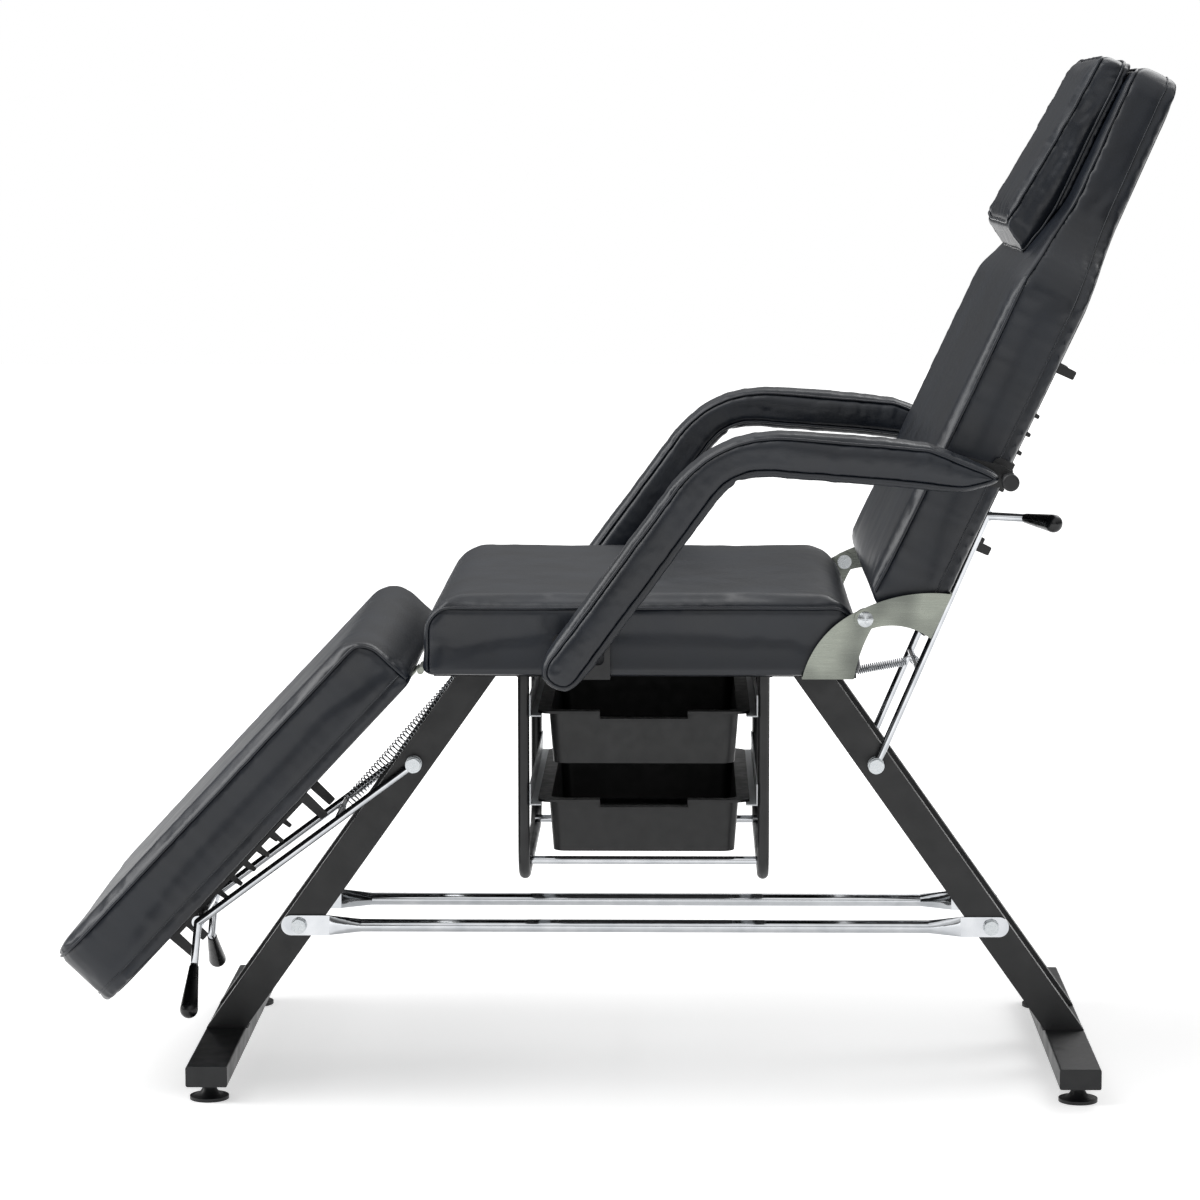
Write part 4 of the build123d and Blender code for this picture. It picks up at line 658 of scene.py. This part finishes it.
class CHAIR_OT_seat(Maker):
    """Sews the seat cushion, with piping along both side edges"""
    bl_idname = "chair.seat"
    bl_label = "Seat cushion"

    def execute(self, context):
        base = SEAT["base"] * MM
        seat = cushion(solid_of("seat_cushion", "seat_cover", "seat_board", DOWN),
                       lambda p, n: (p[:, 2] < base + 4 * MM), self.sizes)
        relax(seat, 0.9, 170, 3.0)
        outline = rounded([(SEAT["front"], SEAT["base"] + 2), (SEAT["front"], SEAT["shoulder"]),
                           (SEAT["rear"], SEAT["shoulder"]), (SEAT["rear"], SEAT["base"] + 2)],
                          SEAT_CORNER)
        routes = [[at(p.x, side * HALF, p.y) for p in outline] for side in (-1, 1)]
        leather = made_finish("upholstery")
        pipe(seat, "seat_piping", routes, leather, "base", self.sizes)
        lining("seat_board", "seat_lining", DOWN, "base")
        dress(seat, leather, "base", ["seat_cushion", "seat_board"])
        return {"FINISHED"}


def back_half(along):
    """Half the back's width at a place along it."""
    if along <= SHOULDER[0]:
        return HALF
    if along >= SHOULDER[1]:
        share = (along - SHOULDER[1]) / (BACK_LENGTH - SHOULDER[1])
        return NECK_HALF + (CROWN_HALF - NECK_HALF) * share
    share = (along - SHOULDER[0]) / (SHOULDER[1] - SHOULDER[0])
    ease = share * share * (3 - 2 * share)
    return HALF + (NECK_HALF - HALF) * ease


def back_loop(out_low, out_high, foot):
    """A route up one side of the back, over its head and down the other, at this depth."""
    side = [(a, back_half(a)) for a in np.arange(foot, BACK_LENGTH - CROWN_CORNER, 6.0)]
    top = CROWN_HALF + 9
    corner = rounded([(side[-1][0], side[-1][1]), (BACK_LENGTH, top), (BACK_LENGTH, 0.0)], 44)
    half = [Vector(p) for p in side[:-1]] + corner

    def depth(along):
        share = min(max((along - SHOULDER[0]) / (SHOULDER[1] - SHOULDER[0]), 0.0), 1.0)
        return out_low + (out_high - out_low) * share

    near = [at_back(p.x, -p.y, depth(p.x)) for p in half]
    return near + [at_back(p.x, p.y, depth(p.x)) for p in reversed(half[:-1])]


class CHAIR_OT_back(Maker):
    """Sews the back cushion, with piping round its front and a seam near its rear edge"""
    bl_idname = "chair.back"
    bl_label = "Back cushion"

    def execute(self, context):
        origin, out = np.array(at_back(0, 0, 0)), np.array([BACK_OUT[0], 0.0, BACK_OUT[1]])
        back = cushion(solid_of("back_cushion", "back_cover", "back_board", BACK_WAY),
                       lambda p, n: (p - origin) @ out > -4 * MM, self.sizes)
        relax(back, 0.9, 190, 11.0)
        leather = made_finish("upholstery")
        pipe(back, "back_piping", [back_loop(BACK_PIPING, NECK_PIPING, 26)], leather, "back", self.sizes)
        pipe(back, "back_rear_seam", [back_loop(BACK_REAR_SEAM, BACK_REAR_SEAM, 8)], leather, "back", self.sizes,
             radius=THIN_CORD, depth=0.5, puckers=0.6)
        lining("back_board", "back_lining", BACK_WAY, "back")
        dress(back, leather, "back", ["back_cushion", "back_board"])
        return {"FINISHED"}


class CHAIR_OT_leg_rest(Maker):
    """Sews the leg rest, with piping round its top and a stitched line above its board"""
    bl_idname = "chair.leg_rest"
    bl_label = "Leg rest cushion"

    def execute(self, context):
        origin, out = np.array(at_leg(0, 0, 0)), np.array([LEG_OUT[0], 0.0, LEG_OUT[1]])
        rest = cushion(solid_of("leg_rest_cushion", "leg_rest_cover", "leg_rest_board", LEG_WAY),
                       lambda p, n: (p - origin) @ out < 4 * MM, self.sizes)
        relax(rest, 0.9, 180, 23.0)
        side = rounded([(0, 4), (0, LEG_THICK), (LEG_LENGTH - 40, LEG_THICK)], [0, KNEE_CORNER, 0])
        plan = rounded([(LEG_LENGTH - TOE_CORNER, HALF), (LEG_LENGTH, HALF), (LEG_LENGTH, 0)], TOE_CORNER)
        near, far = ([at_leg(p.x, way * HALF, p.y) for p in side] + [at_leg(p.x, way * p.y, LEG_THICK) for p in plan]
                     for way in (-1, 1))
        leather = made_finish("upholstery")
        pipe(rest, "leg_rest_piping", [near + far[-2::-1]], leather, "leg_rest", self.sizes)
        low = rounded([(6, HALF), (LEG_LENGTH, HALF), (LEG_LENGTH, 0)], [0, BOARD_CORNER, 0])
        low_near, low_far = ([at_leg(p.x, way * p.y, LEG_SEAM) for p in low] for way in (-1, 1))
        pipe(rest, "leg_rest_board_seam", [low_near + low_far[-2::-1]], leather, "leg_rest", self.sizes,
             radius=THIN_CORD, depth=0.5, puckers=0.8)
        lining("leg_rest_board", "leg_rest_lining", LEG_WAY, "leg_rest")
        dress(rest, leather, "leg_rest", ["leg_rest_cushion", "leg_rest_board"])
        return {"FINISHED"}


class CHAIR_OT_pillow(Maker):
    """Sews the wedge pillow, with piping round its front and rear edges"""
    bl_idname = "chair.pillow"
    bl_label = "Pillow"

    def execute(self, context):
        origin, out = np.array(at_back(0, 0, 0)), np.array([BACK_OUT[0], 0.0, BACK_OUT[1]])
        pillow = cushion(solid_of("pillow", "pillow_cover"), lambda p, n: n @ out > 0.6, self.sizes,
                         swell=3 * MM, side_swell=3 * MM, voxel=5 * MM)
        relax(pillow, 1.1, 80, 31.0)
        half = PILLOW_HALF
        loop = rounded([(480, -half), (718, -half), (718, half), (480, half)], 34, closed=True)
        front = [at_back(p.x, p.y, -120 + (p.x - 478) / 240 * 18) for p in loop]
        loop = rounded([(440, -half), (718, -half), (718, half), (440, half)], 34, closed=True)
        rear = [at_back(p.x, p.y, -70) for p in loop]
        leather = made_finish("upholstery")
        pipe(pillow, "pillow_piping", [front], leather, "pillow", self.sizes, closed=True, puckers=2.0)
        pipe(pillow, "pillow_rear_piping", [rear], leather, "pillow", self.sizes, closed=True, puckers=1.5)
        dress(pillow, leather, "pillow", ["pillow"])
        return {"FINISHED"}


def arm_edge(inset):
    """The armrest's outline in the side view, this far inside its edge."""
    half = 26.0 - inset
    route = [Vector(p) for p in ARM_ROUTE]
    left, right = [], []
    for i, point in enumerate(route):
        ways = [(b - a).normalized() for a, b in zip(route, route[1:])][max(i - 1, 0):i + 1]
        way = sum(ways, Vector((0, 0))) / len(ways)
        scale = half / way.length_squared
        left.append(point + Vector((-way.y, way.x)) * scale)
        right.append(point + Vector((way.y, -way.x)) * scale)
    start, end = (route[1] - route[0]).normalized(), (route[-1] - route[-2]).normalized()
    left[0] -= start * half
    right[0] -= start * half
    left[-1] += end * half
    right[-1] += end * half
    return tapered(rounded(left + right[::-1], [half, 88, 150, half, half, 150, 36, half], closed=True), inset)


def tapered(route, inset):
    """Narrows the armrest's outline to a blunt point at its rear."""
    kept = []
    for point in route:
        x = min(point.x, ARM_TAIL_TOP[0][-1] - inset)
        z = point.y
        if x > ARM_TAIL_TOP[0][0]:
            z = min(z, np.interp(x, *ARM_TAIL_TOP) - inset)
        if x > ARM_TAIL_LOW[0][0]:
            z = max(z, np.interp(x, *ARM_TAIL_LOW) + inset)
        spot = Vector((x, z))
        if not kept or min((spot - kept[-1]).length, (spot - kept[0]).length) > 1.0:
            kept.append(spot)
    return kept


class CHAIR_OT_armrests(Maker):
    """Sews the two bent armrest pads round their bars"""
    bl_idname = "chair.armrests"
    bl_label = "Armrest pads"

    def execute(self, context):
        leather = made_finish("upholstery")
        for place, side in (("near", -1), ("far", 1)):
            made = bmesh.new()
            edge = [made.verts.new(at(p.x, side * ARM_Y[0], p.y)) for p in arm_edge(0)[::3]]
            face = made.faces.new(edge)
            grown = bmesh.ops.extrude_face_region(made, geom=[face])
            top = [v for v in grown["geom"] if isinstance(v, bmesh.types.BMVert)]
            bmesh.ops.translate(made, vec=(0, side * (ARM_Y[1] - ARM_Y[0]) * MM, 0), verts=top)
            bmesh.ops.recalc_face_normals(made, faces=made.faces)
            rims = [e for e in made.edges if abs(e.verts[0].co.y - e.verts[1].co.y) < 1e-6]
            bmesh.ops.bevel(made, geom=rims, offset=13 * MM, segments=4, profile=0.5, affect="EDGES", material=-1)
            mesh = bpy.data.meshes.new("armrest_cover_" + place)
            made.to_mesh(mesh)
            made.free()
            pad = link(bpy.data.objects.new("armrest_cover_" + place, mesh))
            cushion(pad, lambda p, n: np.zeros(len(p), bool), self.sizes, shrink=1.5 * MM, swell=2 * MM,
                    side_swell=1.5 * MM, voxel=5 * MM)
            relax(pad, 0.7, 80, 41.0 + side)
            loop = arm_edge(4)
            outer = [at(p.x, side * (ARM_Y[1] - 4), p.y) for p in loop]
            inner = [at(p.x, side * (ARM_Y[0] + 4), p.y) for p in loop]
            body = "armrest_" + place
            pipe(pad, "armrest_outer_piping_" + place, [outer], leather, body, self.sizes, closed=True,
                 radius=1.8 * MM, puckers=1.2)
            pipe(pad, "armrest_inner_piping_" + place, [inner], leather, body, self.sizes, closed=True,
                 radius=1.8 * MM, puckers=1.2)
            dress(pad, leather, body, ["armrest_pad_" + place])
        return {"FINISHED"}


class CHAIR_OT_stage(Maker):
    """Lays the floor, hangs the lamps and sets up the camera"""
    bl_idname = "chair.stage"
    bl_label = "Studio"

    def execute(self, context):
        scene = context.scene
        colours = scene.chair_colours
        made = bmesh.new()
        bmesh.ops.create_grid(made, x_segments=1, y_segments=1, size=14)
        mesh = bpy.data.meshes.new("studio_floor")
        made.to_mesh(mesh)
        made.free()
        floor = link(bpy.data.objects.new("studio_floor", mesh))
        material, tree, place, shader = finish("pale_studio_floor", {"Roughness": 0.7, "Specular IOR Level": 0.2})
        tint = colours.floor
        tone = ramp(tree, pattern(tree, place, 400, 2), [(0.2, (*(c * 0.985 for c in tint), 1)), (0.8, (*tint, 1))])
        tree.links.new(tone, shader.inputs["Base Color"])
        seen = self.seen_directly(tree)
        # The floor brightens away from the chair, so that it runs into the white background
        away = node(tree, "ShaderNodeVectorMath", {"operation": "LENGTH"}, {}, {0: place})
        lift = node(tree, "ShaderNodeMapRange", {"interpolation_type": "SMOOTHSTEP"},
                    {"From Min": 0.9, "From Max": 2.6, "To Min": 0.5, "To Max": 1.0},
                    {"Value": away.outputs["Value"]})
        lifted = node(tree, "ShaderNodeMath", {"operation": "MULTIPLY"}, {}, {0: seen, 1: lift.outputs["Result"]})
        shader.inputs["Emission Color"].default_value = (1, 1, 1, 1)
        tree.links.new(lifted.outputs["Value"], shader.inputs["Emission Strength"])
        floor.data.materials.append(material)
        world = bpy.data.worlds.new("studio")
        scene.world = world
        world.use_nodes = True
        tree = world.node_tree
        tree.nodes.clear()
        seen = self.seen_directly(tree)
        # Above the horizon the room is darker than the ceiling, which draws a dark line on the chrome
        way = node(tree, "ShaderNodeTexCoord").outputs["Generated"]
        height = node(tree, "ShaderNodeSeparateXYZ", links={"Vector": way}).outputs["Z"]
        room = node(tree, "ShaderNodeMapRange", {"interpolation_type": "SMOOTHSTEP"},
                    {"From Min": 0.1, "From Max": 0.75, "To Min": 0.14, "To Max": 1.0}, {"Value": height})
        eye = node(tree, "ShaderNodeLightPath").outputs["Is Camera Ray"]
        shown = node(tree, "ShaderNodeMath", {"operation": "MAXIMUM"}, {}, {0: eye, 1: room.outputs["Result"]})
        strength = node(tree, "ShaderNodeMapRange", {}, {"To Min": colours.ambient},
                        {"Value": seen, "To Max": shown.outputs["Value"]})
        sky = node(tree, "ShaderNodeBackground", {}, {"Color": (1, 1, 1, 1)},
                   {"Strength": strength.outputs["Result"]})
        node(tree, "ShaderNodeOutputWorld", links={"Surface": sky.outputs["Background"]})
        lamps = [
            ("key_softbox", (-1.6, -0.7, 3.4), 2.6, colours.key_power),
            ("rear_softbox", (1.6, 2.0, 2.8), 2.2, colours.key_power * 0.6),
            ("fill_softbox", (0.6, -3.6, 1.6), 2.4, colours.fill_power),
            ("front_softbox", (-3.3, -0.1, 2.0), 2.2, colours.fill_power * 6.5),
        ]
        aim = Vector((0.05, 0.0, 0.55))
        for name, spot, size, power in lamps:
            lamp = bpy.data.lights.new(name, "AREA")
            lamp.shape, lamp.size, lamp.energy = "SQUARE", size, power
            thing = link(bpy.data.objects.new(name, lamp))
            thing.location = spot
            thing.rotation_euler = (aim - Vector(spot)).to_track_quat("-Z", "Y").to_euler()
        camera = bpy.data.cameras.new("camera")
        camera.sensor_width, camera.lens = 36.0, 115.64
        camera.shift_x, camera.shift_y = -0.03, -0.05
        camera.clip_end = 100
        thing = link(bpy.data.objects.new("camera", camera))
        thing.location = at(50.5, -4791.8, 1165.3)
        thing.rotation_euler = (radians(90 - 6.14), 0, radians(0.745))
        scene.camera = thing
        scene.view_settings.view_transform = "Standard"
        return {"FINISHED"}

    @staticmethod
    def seen_directly(tree):
        """1 for what the camera, a mirror or glass sees, so that the background is white there."""
        rays = node(tree, "ShaderNodeLightPath")
        either = node(tree, "ShaderNodeMath", {"operation": "MAXIMUM"}, {},
                      {0: rays.outputs["Is Camera Ray"], 1: rays.outputs["Is Glossy Ray"]})
        return node(tree, "ShaderNodeMath", {"operation": "MAXIMUM"}, {},
                    {0: either.outputs["Value"], 1: rays.outputs["Is Transmission Ray"]}).outputs["Value"]


MAKERS = [CHAIR_OT_finishes, CHAIR_OT_stage, CHAIR_OT_seat, CHAIR_OT_back, CHAIR_OT_leg_rest, CHAIR_OT_pillow,
          CHAIR_OT_armrests]


class CHAIR_PT_panel(bpy.types.Panel):
    """Lists the chair's pieces and sizes"""
    bl_label = "Tattoo chair"
    bl_idname = "CHAIR_PT_panel"
    bl_space_type = "VIEW_3D"
    bl_region_type = "UI"
    bl_category = "Chair"

    def draw(self, context):
        layout = self.layout
        for group in (context.scene.chair_sizes, context.scene.chair_colours):
            for name in group.__annotations__:
                layout.prop(group, name)
        for maker in MAKERS:
            layout.operator(maker.bl_idname)


CLASSES = [ChairSizes, ChairColours, *MAKERS, CHAIR_PT_panel]


def register():
    for kind in CLASSES:
        bpy.utils.register_class(kind)
    bpy.types.Scene.chair_sizes = PointerProperty(type=ChairSizes)
    bpy.types.Scene.chair_colours = PointerProperty(type=ChairColours)


def unregister():
    del bpy.types.Scene.chair_colours, bpy.types.Scene.chair_sizes
    for kind in reversed(CLASSES):
        bpy.utils.unregister_class(kind)


def main():
    register()
    for maker in MAKERS:
        group, name = maker.bl_idname.split(".")
        getattr(getattr(bpy.ops, group), name)()


if __name__ == "__main__":
    main()
